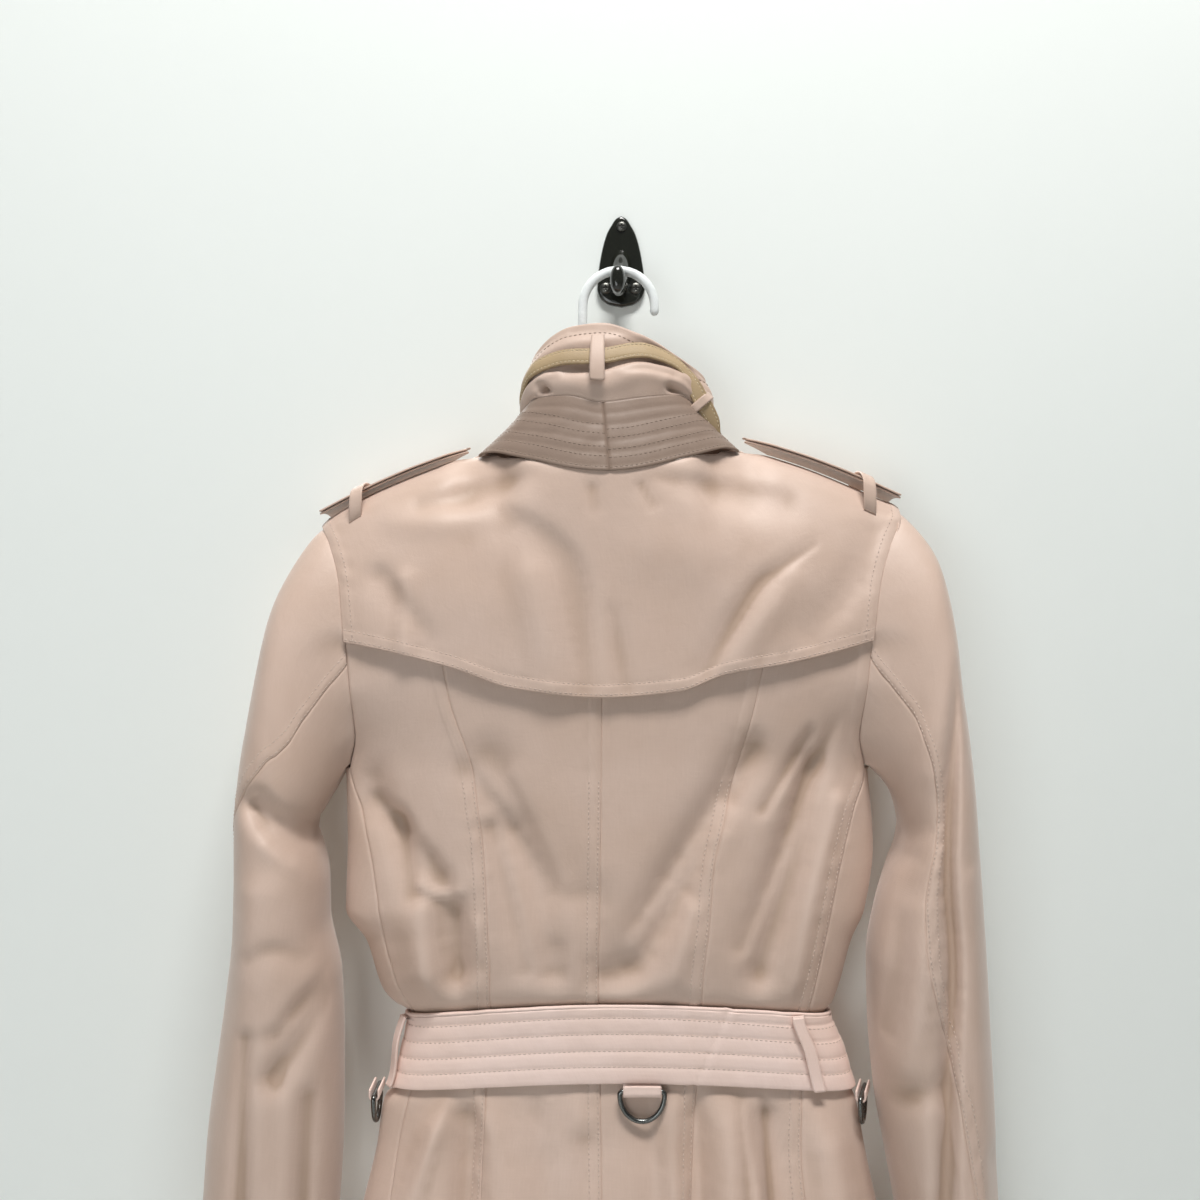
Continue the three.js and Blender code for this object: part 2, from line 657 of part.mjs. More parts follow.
// The armhole loop of the torso, by angle: 0 at the shoulder tip, 90 at the back.
const UNDERARM_FLAT = 16;
const UNDERARM_BULGE = 3;
const SLEEVE_START = { left: 1.9, right: 3.6 };
const LAST_ROW = 16;

function armholePoint(sign, angle) {
  const line = sign < 0 ? lines.armLeft : lines.armRight;
  const tipZ = topZ(line.top, "back");
  const turn = ((angle % 360) + 360) % 360;
  const face = turn <= 180 ? "back" : "front";
  const half = Math.min(turn, 360 - turn);
  if (half > 180 - UNDERARM_FLAT) {
    const start = yokePoint(line.at(UNDERARM_Z), 0, UNDERARM_Z, "back");
    const end = yokePoint(line.at(UNDERARM_Z), 0, UNDERARM_Z, "front");
    const share = (turn - 180 + UNDERARM_FLAT) / (2 * UNDERARM_FLAT);
    const out = Math.sin(Math.PI * share) * UNDERARM_BULGE;
    return start.lerp(end, share).add(point(sign * out, 0, 0));
  }
  const z = lerp(tipZ, UNDERARM_Z, (1 - Math.cos(radians((half * 180) / (180 - UNDERARM_FLAT)))) / 2);
  const w = (z - UNDERARM_Z) / (tipZ - UNDERARM_Z);
  return yokePoint(line.at(z), w, z, face);
}

function sleevePoint(rows, folds, frontFolds, sign, row, angle) {
  const at = (column) => read(rows, "row", column, row);
  const [c, s] = [Math.cos(radians(angle)), Math.sin(radians(angle))];
  const bend = (value) => Math.sign(value) * Math.abs(value) ** 0.86;
  const [outX, outZ, inX, inZ] = ["outX", "outZ", "inX", "inZ"].map(at);
  const share = (1 + bend(c)) / 2;
  const ring = point(lerp(inX, outX, share), at("mid") - at("half") * bend(s), lerp(inZ, outZ, share));
  const grown = smooth(row, 1.5, 7);
  const facing = smooth(Math.abs(s), 0.1, 0.6) * grown;
  const drop = relief(s > 0 ? folds : frontFolds, ring.x, ring.z) * facing;
  ring.y -= Math.sign(s) * drop;
  const gap = sign < 0 ? SLEEVE_START.left : SLEEVE_START.right;
  const start = armholePoint(sign, angle).add(point(sign * gap, 0, 0));
  return start.lerp(ring, smooth(row, -0.4, 2.4));
}

function sleeves() {
  for (const [name, rows, sign] of [["left", SLEEVE_LEFT, -1], ["right", SLEEVE_RIGHT, 1]]) {
    const backSeam = (row) => read(SLEEVE_SEAM[name], "row", "angle", row);
    const at = (row, angle) => sleevePoint(rows, SLEEVE_FOLDS[name], SLEEVE_FRONT_FOLDS[name], sign, row, angle);
    const upper = (u, v) => at(v * LAST_ROW, lerp(FRONT_SLEEVE_SEAM - 360, backSeam(v * LAST_ROW), u));
    const under = (u, v) => at(v * LAST_ROW, lerp(backSeam(v * LAST_ROW), FRONT_SLEEVE_SEAM, u));
    const down = [0, 0.6, ...steps(13, 1.3, LAST_ROW)].map((row) => row / LAST_ROW);
    add(`sleeve_${name}_upper`, cloth(upper, steps(9), down, sign), finish.coat);
    add(`sleeve_${name}_under`, cloth(under, steps(10), down, sign), finish.coat);
  }
}

// ---------------------------------------------------------------- collar

const collarRow = (turn, column) => read(COLLAR, "turn", column, turn);

// The neck seam, the seam of the leaf and its free edge, by angle round the neck.
function neckSeam(turn) {
  const [s, c] = [Math.sin(radians(turn)), Math.cos(radians(turn))];
  const x = NECK.x + NECK.wide * s;
  return point(x, topY(x, c > 0 ? "back" : "front"), topZ(x, c > 0 ? "back" : "front"));
}

const leafSeam = (turn) => point(...["seamX", "seamY", "seamZ"].map((column) => collarRow(turn, column)));
const leafEdge = (turn) => point(...["edgeX", "edgeY", "edgeZ"].map((column) => collarRow(turn, column)));

const STAND_LIFT = 2.6;
const LEAF_LIFT = 0.8;
const STAND_ENDS = { left: -150, right: 150 };
const LEAF_ENDS = { left: -128, right: 128 };

function standPoint(turn, v) {
  const foot = neckSeam(turn).add(point(0, 0, STAND_LIFT));
  return foot.lerp(leafSeam(turn), v);
}

function leafPoint(turn, v) {
  const out = point(Math.sin(radians(turn)), -Math.cos(radians(turn)), 0);
  const bulge = LEAF_BULGE * Math.sin(Math.PI * Math.min(1, v * 1.1));
  return leafSeam(turn).lerp(leafEdge(turn), v).addScaledVector(out, bulge);
}

const leafMap = (u, v) => leafPoint(lerp(LEAF_ENDS.left, LEAF_ENDS.right, u), v);

function collar() {
  const rows = steps(2);
  const left = (u, v) => standPoint(lerp(STAND_ENDS.left, 0, u), v);
  const right = (u, v) => standPoint(lerp(0, STAND_ENDS.right, u), v);
  add("collar_stand_left", cloth(left, steps(12), rows), finish.collar);
  add("collar_stand_right", cloth(right, steps(12), rows), finish.collar);
  const seam = (u, v) => leafMap(u, v).add(point(0, 0, LEAF_LIFT));
  add("collar_leaf", cloth(seam, steps(22), steps(4)), finish.collar);
}

// The neck strap lies on the leaf; its pointed end hangs down past the keeper.
const STRAP = { wide: 10.5, thick: 2, stand: 2.8, from: -100, to: 80 };
const STRAP_END = table("part x y z wide", [
  [0, 60, -58, -100, 10.5],
  [0.5, 66, -56, -112, 11.5],
  [0.85, 70, -53, -122, 9],
  [1, 72, -52, -128, 2],
]);
const STRAP_SPLIT = 0.82;

function strapPoint(u, v) {
  if (u > STRAP_SPLIT) {
    const part = (u - STRAP_SPLIT) / (1 - STRAP_SPLIT);
    const at = (column) => read(STRAP_END, "part", column, part);
    const half = (v - 0.5) * at("wide");
    return point(at("x") + 0.75 * half, at("y"), at("z") + 0.6 * half);
  }
  const turn = lerp(STRAP.from, STRAP.to, u / STRAP_SPLIT);
  const height = read(STRAP_HEIGHT, "turn", "height", turn);
  const out = point(Math.sin(radians(turn)), -Math.cos(radians(turn)), 0);
  const share = ((v - 0.5) * STRAP.wide) / leafSeam(turn).distanceTo(leafEdge(turn));
  return leafPoint(turn, height + share).addScaledVector(out, STRAP.stand + STRAP.thick);
}

function neckStrap() {
  const us = [...steps(20, 0, STRAP_SPLIT), ...steps(4, STRAP_SPLIT, 1).slice(1)];
  add("collar_strap", cloth(strapPoint, us, [0, 1], 1, STRAP.thick), finish.strap);
  const over = STRAP.thick + STRAP.stand + CLOTH + 1.1;
  const loop = (u, v) => {
    const turn = -4 + 9 * (u - 0.5);
    const out = point(Math.sin(radians(turn)), -Math.cos(radians(turn)), 0);
    return leafPoint(turn, lerp(0.25, 0.84, v)).addScaledVector(out, over);
  };
  add("collar_strap_loop", cloth(loop, [0, 1], steps(4)), finish.collar);
  const keeper = (u, v) => {
    const along = lerp(0.74, 0.79, u);
    const bottom = strapPoint(along, -0.2);
    const out = point(0.7, -0.7, 0).multiplyScalar(CLOTH + 2.3);
    return bottom.lerp(strapPoint(along, 1.2), v).add(out);
  };
  add("collar_strap_keeper", cloth(keeper, [0, 1], steps(2)), finish.collar);
}

// ---------------------------------------------------------------- epaulettes

// Each lies over the shoulder from the armhole to a point near the collar, on a second
// layer of its own shape, under a loop of cloth near the sleeve.
const EPAULETTES = {
  left: { outer: point(-205, -30, -179), tip: point(-105, -30, -136), loopX: -179 },
  right: { outer: point(189, -30, -168), tip: point(84, -30, -129), loopX: 166 },
};
const EPAULETTE = { wide: 42, neck: 38, taper: 0.82, bow: 3, thick: 1.2, ply: 1.6, step: 1.5 };

const LOOP = { wide: 8, midY: -32, halfY: 28.4, foot: -11, over: 3.6, box: 0.3, thick: 1.2 };

function epaulettePoint(ends, u, v, inset = 0) {
  const length = ends.outer.distanceTo(ends.tip);
  const reach = u * (1 - inset / length);
  const middle = ends.outer.clone().lerp(ends.tip, reach);
  const sharp = reach > EPAULETTE.taper ? 1 - (reach - EPAULETTE.taper) / (1 - EPAULETTE.taper) : 1;
  const full = lerp(EPAULETTE.wide, EPAULETTE.neck, reach) - 2 * inset;
  const half = Math.max(1.5, (full / 2) * sharp);
  const bow = EPAULETTE.bow * Math.sin(Math.PI * reach);
  return middle.add(point(0, (0.5 - v) * 2 * half, bow - 0.004 * half * half * (2 * v - 1) ** 2));
}

function epaulettes() {
  for (const [name, ends] of Object.entries(EPAULETTES)) {
    const us = [0, 0.25, 0.5, 0.7, EPAULETTE.taper, 0.92, 1];
    const side = name === "left" ? -1 : 1;
    const top = (u, v) => epaulettePoint(ends, u, v);
    const ply = (u, v) => epaulettePoint(ends, u, v, EPAULETTE.step).add(point(0, 0, -EPAULETTE.ply));
    add(`epaulette_${name}`, cloth(top, us, steps(2), side, EPAULETTE.thick), finish.coat);
    add(`epaulette_${name}_under`, cloth(ply, us, steps(2), side, EPAULETTE.thick), finish.coat);
    const arch = (u, v) => {
      const turn = Math.PI * v;
      const x = ends.loopX + LOOP.wide * (u - 0.5);
      const foot = read(SHOULDER, "x", "z", x) + LOOP.foot;
      const reach = (x - ends.outer.x) / (ends.tip.x - ends.outer.x);
      const crest = epaulettePoint(ends, reach, 0.5).z + LOOP.over;
      const y = LOOP.midY - LOOP.halfY * Math.cos(turn);
      return point(x, y, lerp(foot, crest, Math.sin(turn) ** LOOP.box));
    };
    add(`epaulette_loop_${name}`, cloth(arch, [0, 1], steps(10), 1, LOOP.thick), finish.coat);
  }
}

// ---------------------------------------------------------------- belt and its loops

const BELT_TOP = BELT.z + BELT.wide / 2;
const BELT_LOW = BELT.z - BELT.wide / 2;
const BELT_START = 1.72;
const BELT_LAP = 0.42;
const BELT_LAP_STAND = 3.2;

function beltMap(u, v) {
  const turn = lerp(BELT_START, BELT_START - 4 - BELT_LAP, u);
  const lap = 1 - smooth(turn, BELT_START - 4, BELT_START - 3.88);
  const seat = (t, level) => {
    const p = ringPoint(t, lerp(BELT_LOW, BELT_TOP, level));
    const front = smooth(p.y, -36, -26);
    const lapped = smooth(p.x, FRONT_EDGE.right - LAP.ramp, FRONT_EDGE.right)
      * (1 - smooth(p.x, FRONT_EDGE.left + LAP.clear, FRONT_EDGE.left + LAP.ramp));
    return p.add(point(0, LAP.shift * front * lapped, 0));
  };
  return raise(seat, BELT.stand + BELT.thick + BELT_LAP_STAND * lap)(turn, v);
}

const beltAt = (turn, v) => beltMap((BELT_START - turn) / (4 + BELT_LAP), v);

function belt() {
  add("belt", cloth(beltMap, steps(56), steps(2), -1, BELT.thick), finish.belt);
}

// Narrow loops that hold the belt: x or turn of each, and how far it stands off.
const BELT_LOOPS = [
  { name: "left", turn: -0.9, wide: 7, bow: 7 },
  { name: "right", turn: turnAt(123, BELT.z), wide: 7.5, bow: 1.5 },
];

function beltLoops() {
  for (const spec of BELT_LOOPS) {
    const out = (v) => 0.9 + CLOTH + spec.bow * Math.sin(Math.PI * v) * v;
    const map = (u, v) => {
      const place = beltAt(spec.turn, lerp(0.01, 0.99, v));
      const ahead = beltAt(spec.turn + 0.02, 0.5).sub(beltAt(spec.turn - 0.02, 0.5)).setZ(0).normalize();
      const away = point(ahead.y, -ahead.x, 0);
      return place.addScaledVector(ahead, spec.wide * (u - 0.5)).addScaledVector(away, out(v));
    };
    add(`belt_loop_${spec.name}`, cloth(map, [0, 1], steps(6), 1, CLOTH), finish.belt);
  }
}

// The buckle lies on the front of the belt, with the belt's end behind its bar.
const BUCKLE = { x: -20, wide: 46, tall: 64, rim: 5, thick: 3.2, gap: 0.5 };

function buckle() {
  const seat = beltAt(-2.02, 0.5);
  const y = seat.y + BUCKLE.gap + BUCKLE.thick / 2;
  const window = (BUCKLE.wide - 3 * BUCKLE.rim) / 2;
  const tall = BUCKLE.tall - 2 * BUCKLE.rim;
  const frame = new THREE.BoxGeometry(BUCKLE.wide, BUCKLE.thick, BUCKLE.tall);
  const holes = [-1, 1].map((side) => {
    const hole = new THREE.BoxGeometry(window, 2 * BUCKLE.thick, tall);
    return hole.translate((side * (window + BUCKLE.rim)) / 2, 0, 0);
  });
  const shape = combined([frame, ...holes], "subtract");
  add("belt_buckle", shape.translate(BUCKLE.x, y, seat.z), finish.button);
}

// ---------------------------------------------------------------- D-rings in their tabs

// Each hangs from the belt's lower edge: where, and the direction it faces.
const RINGS = [
  { name: "back", turn: turnAt(12.8, BELT_LOW), face: point(0, -1, 0), out: 1.2 },
  { name: "left", turn: -0.94, face: point(-1, 0, 0), out: 8.8 },
  { name: "right", turn: 0.95, face: point(0.954, -0.3, 0), out: 4.4 },
];

function ringOutline() {
  const half = RING.wide / 2 - RING.wire;
  const deep = RING.tall - 2 * RING.wire;
  const r = RING.corner;
  const points = [[-half + r, 0], [0, 0], [half - r, 0], [half - 0.3 * r, -0.3 * r], [half, -r]];
  for (let i = 1; i < 10; i += 1) {
    const angle = (Math.PI * i) / 10;
    points.push([half * Math.cos(angle), -r - (deep - r) * Math.sin(angle)]);
  }
  points.push([-half, -r], [-half + 0.3 * r, -0.3 * r]);
  return points;
}

function ringFrame(spec) {
  const hem = beltAt(spec.turn, 0);
  const centre = hem.addScaledVector(spec.face, spec.out).add(point(0, 0, -RING.drop));
  return { centre, along: point(-spec.face.y, spec.face.x, 0) };
}

function rings() {
  for (const spec of RINGS) {
    const { centre, along } = ringFrame(spec);
    const path = ringOutline().map(([a, z]) => centre.clone().addScaledVector(along, a).add(point(0, 0, z)));
    add(`d_ring_${spec.name}`, bar(path, spec.face, RING.wire, 8, true), finish.steel);
    add(`ring_tab_${spec.name}`, ringTab(spec, centre, along), finish.belt);
  }
}

// A folded tab: flat against the belt's edge above, round under the ring's bar.
function ringTab(spec, centre, along) {
  const outer = TAB.bore + TAB.wall;
  const outline = new THREE.Shape();
  outline.moveTo(outer, RING.drop - SEAM_GAP).lineTo(-outer, RING.drop - SEAM_GAP);
  outline.absarc(0, 0, outer, Math.PI, 2 * Math.PI, false).closePath();
  const hole = new THREE.Path();
  hole.absarc(0, 0, TAB.bore, 0, 2 * Math.PI, true);
  outline.holes.push(hole);
  const shape = new THREE.ExtrudeGeometry(outline, { depth: TAB.wide, bevelEnabled: false, curveSegments: 8 });
  shape.translate(0, 0, -TAB.wide / 2);
  const place = new THREE.Matrix4().makeBasis(spec.face, point(0, 0, 1), along.clone().negate());
  return shape.applyMatrix4(place.setPosition(centre));
}

// ---------------------------------------------------------------- buttons

const BUTTONS = { x: [-62, 40], z: [-262, -350, -438, -640], radius: 12.5, thick: 3, gap: 0.4 };

function buttons() {
  BUTTONS.z.forEach((z, row) => BUTTONS.x.forEach((x, column) => {
    const shape = new THREE.CylinderGeometry(BUTTONS.radius, BUTTONS.radius, BUTTONS.thick, 12);
    const rim = [-1, 0, 1].map((side) => x + side * BUTTONS.radius);
    const front = Math.max(...rim.map((spot) => ringPoint(2 - turnAt(spot, z), z).y));
    shape.translate(x, front + LAP.shift + BUTTONS.gap + BUTTONS.thick / 2, z);
    add(`button_${row + 1}_${column === 0 ? "left" : "right"}`, shape, finish.button);
  }));
}

// ---------------------------------------------------------------- hanger

const HANGER_PATH = table("x z", [
  [-96, -216], [-150, -216], [-182, -214], [-193, -207], [-188, -198], [-150, -180], [-96, -164],
  [-78, -156.5], [-14, -106], [58, -151], [78, -161.5], [130, -173], [170, -189], [175, -197], [166, -206],
  [130, -212], [76, -214],
]);
const HANGER_STEM = table("x z", [
  [-27, -37.3], [-27.2, -58], [-26, -76], [-20, -92], [-14, -106],
]);

function hanger() {
  const { y, wire, hookX, hookZ, hookR } = HANGER;
  const plane = point(0, 1, 0);
  const spot = (row) => point(row.x, y, row.z);
  const arms = new THREE.CatmullRomCurve3(HANGER_PATH.map(spot)).getPoints(38);
  const hook = steps(11, -8, 180).map((a) =>
    point(hookX + hookR * Math.cos(radians(a)), y, hookZ + hookR * Math.sin(radians(a))));
  const stem = new THREE.CatmullRomCurve3(HANGER_STEM.map(spot)).getPoints(6).slice(1);
  const barEnds = [point(-100, y, -216), point(0, y, -215), point(80, y, -214)];
  add("hanger", combined([
    bar(arms, plane, wire, 8),
    bar([...hook, ...stem], plane, wire, 8),
    bar(barEnds, plane, wire, 8),
  ]), finish.hanger);
}

// ---------------------------------------------------------------- wall hook

const PLATE = table("z half", [
  [-32, 0.5], [-30, 9], [-25, 15], [-19, 17], [-12, 16.7], [-3, 15.6], [10, 13.2], [20.6, 10], [26, 7],
  [31, 3.6], [32.7, 0.5],
]);
const ARM = table("y x z wide tall", [
  [-49, -3, -22, 2.4, 4.5],
  [-47.4, -3, -22, 4.2, 7.8],
  [-44, -3, -22, 5.2, 9.5],
  [-38, -3, -22, 5.2, 9.4],
  [-33.5, -2.6, -23, 5, 7],
  [-28, -2.2, -23.3, 5, 6.6],
  [-22, -1.6, -20.4, 5.4, 7.2],
  [-15, -1, -14, 6, 9],
  [-8, -0.4, -8.5, 7, 12.5],
  [-2, 0, -5.5, 8, 15.5],
]);
const SCREWS = [
  { name: "screw_top", x: 0.3, z: 25, radius: 3.6 },
  { name: "screw_left", x: -11, z: -19, radius: 4.1 },
  { name: "screw_right", x: 10.5, z: -19, radius: 4.1 },
];

function wallHook() {
  const half = (z) => read(PLATE, "z", "half", z);
  const edge = steps(20, PLATE[0].z, PLATE[PLATE.length - 1].z);
  const outline = new THREE.Shape([
    ...edge.map((z) => new THREE.Vector2(half(z), z)),
    ...edge.reverse().map((z) => new THREE.Vector2(-half(z), z)),
  ]);
  const plate = new THREE.ExtrudeGeometry(outline, { depth: PLATE_THICK, bevelEnabled: false });
  plate.rotateX(Math.PI / 2);
  add("wall_hook", combined([plate, arm()]), finish.hook);
}

// The arm slopes out and down from its root and ends in a tall oval knob.
function arm() {
  const sides = 14;
  const vertices = [];
  const triangles = [];
  ARM.forEach((row) => steps(sides - 1, 0, 360 * (1 - 1 / sides)).forEach((angle) => {
    const a = radians(angle);
    vertices.push(point(row.x + row.wide * Math.cos(a), row.y, row.z + row.tall * Math.sin(a)));
  }));
  for (let i = 0; i + 1 < ARM.length; i += 1) {
    for (let k = 0; k < sides; k += 1) {
      const [a, b] = [i * sides + k, i * sides + ((k + 1) % sides)];
      triangles.push([a, b, b + sides], [a, b + sides, a + sides]);
    }
  }
  const end = (ARM.length - 1) * sides;
  for (let k = 1; k + 1 < sides; k += 1) {
    triangles.push([0, k + 1, k], [end, end + k, end + k + 1]);
  }
  return geometry(vertices, triangles);
}

const SCREW_DOME = 1.5;

function screws() {
  for (const { name, x, z, radius } of SCREWS) {
    const profile = steps(3, 0, 90).map((a) =>
      new THREE.Vector2(radius * Math.cos(radians(a)), SCREW_DOME * Math.sin(radians(a))));
    const shape = new THREE.LatheGeometry([new THREE.Vector2(0, 0), ...profile], 14);
    shape.rotateX(Math.PI);
    shape.computeBoundingBox();
    shape.translate(x, -PLATE_THICK - SEAM_GAP - shape.boundingBox.max.y, z);
    add(name, shape, finish.screw);
  }
}

backPanels();
sidePanels();
frontPanels();
stormFlap();
sleeves();
collar();
neckStrap();
epaulettes();
belt();
beltLoops();
buckle();
rings();
buttons();
hanger();
wallHook();
screws();

export default coat;
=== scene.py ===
"""A belted trench coat on a plastic hanger, hung on a wall hook with its back to the room.

Sizes in the tables are millimetres, in the frame of the packed model: +Z up, the wall is y = 0
and everything lies in front of it at y < 0. The origin is the centre of the hook plate's back.
"""

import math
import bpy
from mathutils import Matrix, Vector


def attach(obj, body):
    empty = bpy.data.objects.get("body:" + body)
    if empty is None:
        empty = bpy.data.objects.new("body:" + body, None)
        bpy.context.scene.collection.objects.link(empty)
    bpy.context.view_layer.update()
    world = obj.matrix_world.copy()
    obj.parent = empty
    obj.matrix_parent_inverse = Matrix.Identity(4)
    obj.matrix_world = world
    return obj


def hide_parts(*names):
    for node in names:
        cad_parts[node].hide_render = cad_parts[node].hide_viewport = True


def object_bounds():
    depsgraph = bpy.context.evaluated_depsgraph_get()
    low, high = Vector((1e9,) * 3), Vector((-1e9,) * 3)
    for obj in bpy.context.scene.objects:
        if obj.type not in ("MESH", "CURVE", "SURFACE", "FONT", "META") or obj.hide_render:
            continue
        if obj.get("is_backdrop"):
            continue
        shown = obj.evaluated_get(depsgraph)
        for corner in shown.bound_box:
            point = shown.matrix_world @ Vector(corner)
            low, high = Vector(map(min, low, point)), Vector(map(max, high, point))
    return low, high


bl_info = {
    "name": "Trench coat on a wall hook",
    "version": (1, 0, 0),
    "blender": (4, 5, 0),
    "location": "View3D > Sidebar > Trench coat",
    "description": "Builds a trench coat on its hanger and wall hook",
    "category": "Add Mesh",
}

import bpy
import numpy as np
from bpy.props import FloatProperty, FloatVectorProperty, PointerProperty
from mathutils import Vector

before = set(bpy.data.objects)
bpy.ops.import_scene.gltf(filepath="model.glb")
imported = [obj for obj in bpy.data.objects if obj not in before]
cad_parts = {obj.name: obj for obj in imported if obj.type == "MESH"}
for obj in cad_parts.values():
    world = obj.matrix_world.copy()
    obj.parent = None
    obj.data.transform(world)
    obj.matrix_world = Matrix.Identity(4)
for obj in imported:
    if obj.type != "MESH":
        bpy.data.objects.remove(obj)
CAD_BOX = [list(corner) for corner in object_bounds()]
MM = 0.001
ROOT = "root"

# -------- tables


class Table:
    """Rows of numbers under named columns; the first column is the key they are read by."""

    def __init__(self, columns, rows):
        self.names = columns.split()
        self.rows = np.array(rows, float)

    def column(self, name):
        return self.rows[:, self.names.index(name)]

    def read(self, name, value):
        """A column at any key: smooth, without overshoot, held at the ends."""
        x, y = self.rows[:, 0], self.column(name)
        step = np.diff(y) / np.diff(x)
        slope = np.empty_like(y)
        slope[0], slope[-1] = step[0], step[-1]
        product = step[:-1] * step[1:]
        total = np.where(step[:-1] + step[1:] == 0, 1, step[:-1] + step[1:])
        slope[1:-1] = np.where(product > 0, 2 * product / total, 0)
        value = np.clip(np.asarray(value, float), x[0], x[-1])
        i = np.clip(np.searchsorted(x, value, side="right") - 1, 0, len(x) - 2)
        width = x[i + 1] - x[i]
        t = (value - x[i]) / width
        start, end = slope[i] * width, slope[i + 1] * width
        a, b = y[i], y[i + 1]
        return a + t * (start + t * (3 * (b - a) - 2 * start - end + t * (2 * (a - b) + start + end)))


# The torso's outline at heights: its left and right x, and the y of its back, front and sides.
BODY = Table("z left right back front side", [
    [-1000, -242, 240, -108, -13, -56], [-900, -224, 222, -103, -13, -54],
    [-785, -203, 201, -96, -13, -50], [-700, -187, 185, -90, -13, -47],
    [-640, -176, 173, -82, -13, -45], [-600, -167, 165, -73, -13, -43],
    [-568, -162, 159, -69, -17, -42], [-560, -154, 155, -68, -18, -42],
    [-534, -146, 147, -68, -18, -42], [-510, -142, 138, -69, -18, -42],
    [-503, -154, 143, -74, -16, -42], [-493, -163, 147, -77, -13, -42],
    [-460, -174, 156, -80, -13, -43], [-440, -188, 165, -80, -13, -43],
    [-400, -187, 171, -79, -13, -42], [-352, -188, 167, -78, -13, -42],
])
# The x of the back's seams and of the side seams.
SEAMS = Table("z centre shapeLeft shapeRight sideLeft sideRight", [
    [-1000, -12, -118, 62, -180, 160], [-785, -13, -105, 52, -166, 138],
    [-645, -14, -95, 45, -155, 121], [-602, -14.5, -93, 47, -151, 118],
    [-564, -15, -91, 49, -143, 120], [-534, -15.5, -90, 50, -134, 122],
    [-508, -16, -88, 52, -141, 125], [-488, -16, -88, 53, -151, 129],
    [-454, -15.5, -89, 57, -160, 136], [-416, -15, -91, 60, -166, 144],
    [-376, -14.5, -96, 70, -176, 155], [-352, -14.3, -100, 76, -184, 164],
    [-304, -14, -115, 88, -184, 164], [-200, -13.5, -128, 105, -184, 164],
    [-130, -13.4, -130, 108, -184, 164],
])
ARMHOLE = Table("z left right", [
    [-352, -184, 164], [-331, -178.5, 158.5], [-301, -180, 161], [-268, -183, 164.5],
    [-230, -187, 170], [-205, -195, 178], [-188, -205.5, 187],
])
SHOULDER = Table("x z", [
    [-206, -192], [-176, -174], [-152, -163], [-106, -145], [-91, -139],
    [73, -136], [91, -142.5], [126, -154], [159, -167.5], [188, -180],
])
FLAP_EDGE = Table("x z", [
    [-184, -268], [-171, -270], [-113, -284], [-72, -298], [-15, -304],
    [38, -300], [67, -289], [106, -282], [149, -271], [166, -266],
])
# Rows across a sleeve from shoulder to cuff: its outer and inner edge, middle y and half depth.
SLEEVE_COLUMNS = "row outX outZ inX inZ mid half"
SLEEVES = {
    "left": Table(SLEEVE_COLUMNS, [
        [0, -205.5, -188, -187, -352, -42, 34], [1, -216, -203, -191, -362, -45, 38],
        [2, -228, -228, -194, -369, -48, 42], [3, -237, -253, -198, -376, -51, 44],
        [4, -243.5, -285, -202, -383, -53, 46], [5, -249.5, -320, -206, -390, -54, 47],
        [6, -254.5, -352, -207, -399, -55, 47], [7, -257.5, -388, -203, -409, -56, 48],
        [8, -257.5, -425, -199, -428, -57, 48], [9, -258, -458, -198, -455, -58, 48],
        [10, -262, -495, -190, -492, -58, 48], [11, -268, -538, -188, -534, -58, 48],
        [12, -275, -590, -188, -586, -58, 48], [13, -279.5, -650, -191, -648, -58, 48],
        [14, -285, -705, -199, -703, -58, 48], [15, -291, -748, -206, -746, -58, 48],
        [16, -296, -788, -212, -786, -58, 48],
    ]),
    "right": Table(SLEEVE_COLUMNS, [
        [0, 187, -176, 167, -352, -42, 34], [1, 199, -190, 172.5, -358, -45, 38],
        [2, 210, -208, 177, -363, -48, 42], [3, 217.5, -234, 181.5, -370, -51, 44],
        [4, 222, -262, 184.5, -378, -53, 46], [5, 225, -294, 186.5, -386, -54, 47],
        [6, 229.5, -328, 188, -396, -55, 47], [7, 233, -362, 186, -408, -56, 48],
        [8, 235.5, -398, 179, -424, -57, 49], [9, 238.5, -440, 171.5, -446, -58, 49],
        [10, 241.5, -486, 165.5, -481, -58, 50], [11, 243.5, -524, 166, -518, -58, 50],
        [12, 246, -570, 170, -568, -58, 50], [13, 247.5, -612, 177, -609, -58, 50],
        [14, 250, -654, 185, -652, -58, 50], [15, 257, -718, 197, -716, -58, 50],
        [16, 266, -788, 210, -785, -58, 50],
    ]),
}
# Where the sleeve's back seam runs round it, in degrees from the outer edge.
SLEEVE_SEAM = {
    "left": Table("row angle", [
        [0, 90], [1, 97], [2, 102], [3, 101], [4, 94], [5, 82], [6, 62], [7.2, 24], [8.5, 2], [16, -8]]),
    "right": Table("row angle", [
        [0, 90], [1, 99], [2, 107], [3.2, 109], [5, 106], [8.5, 112], [9.5, 105], [10.5, 94], [11.3, 86],
        [16, 66]]),
}
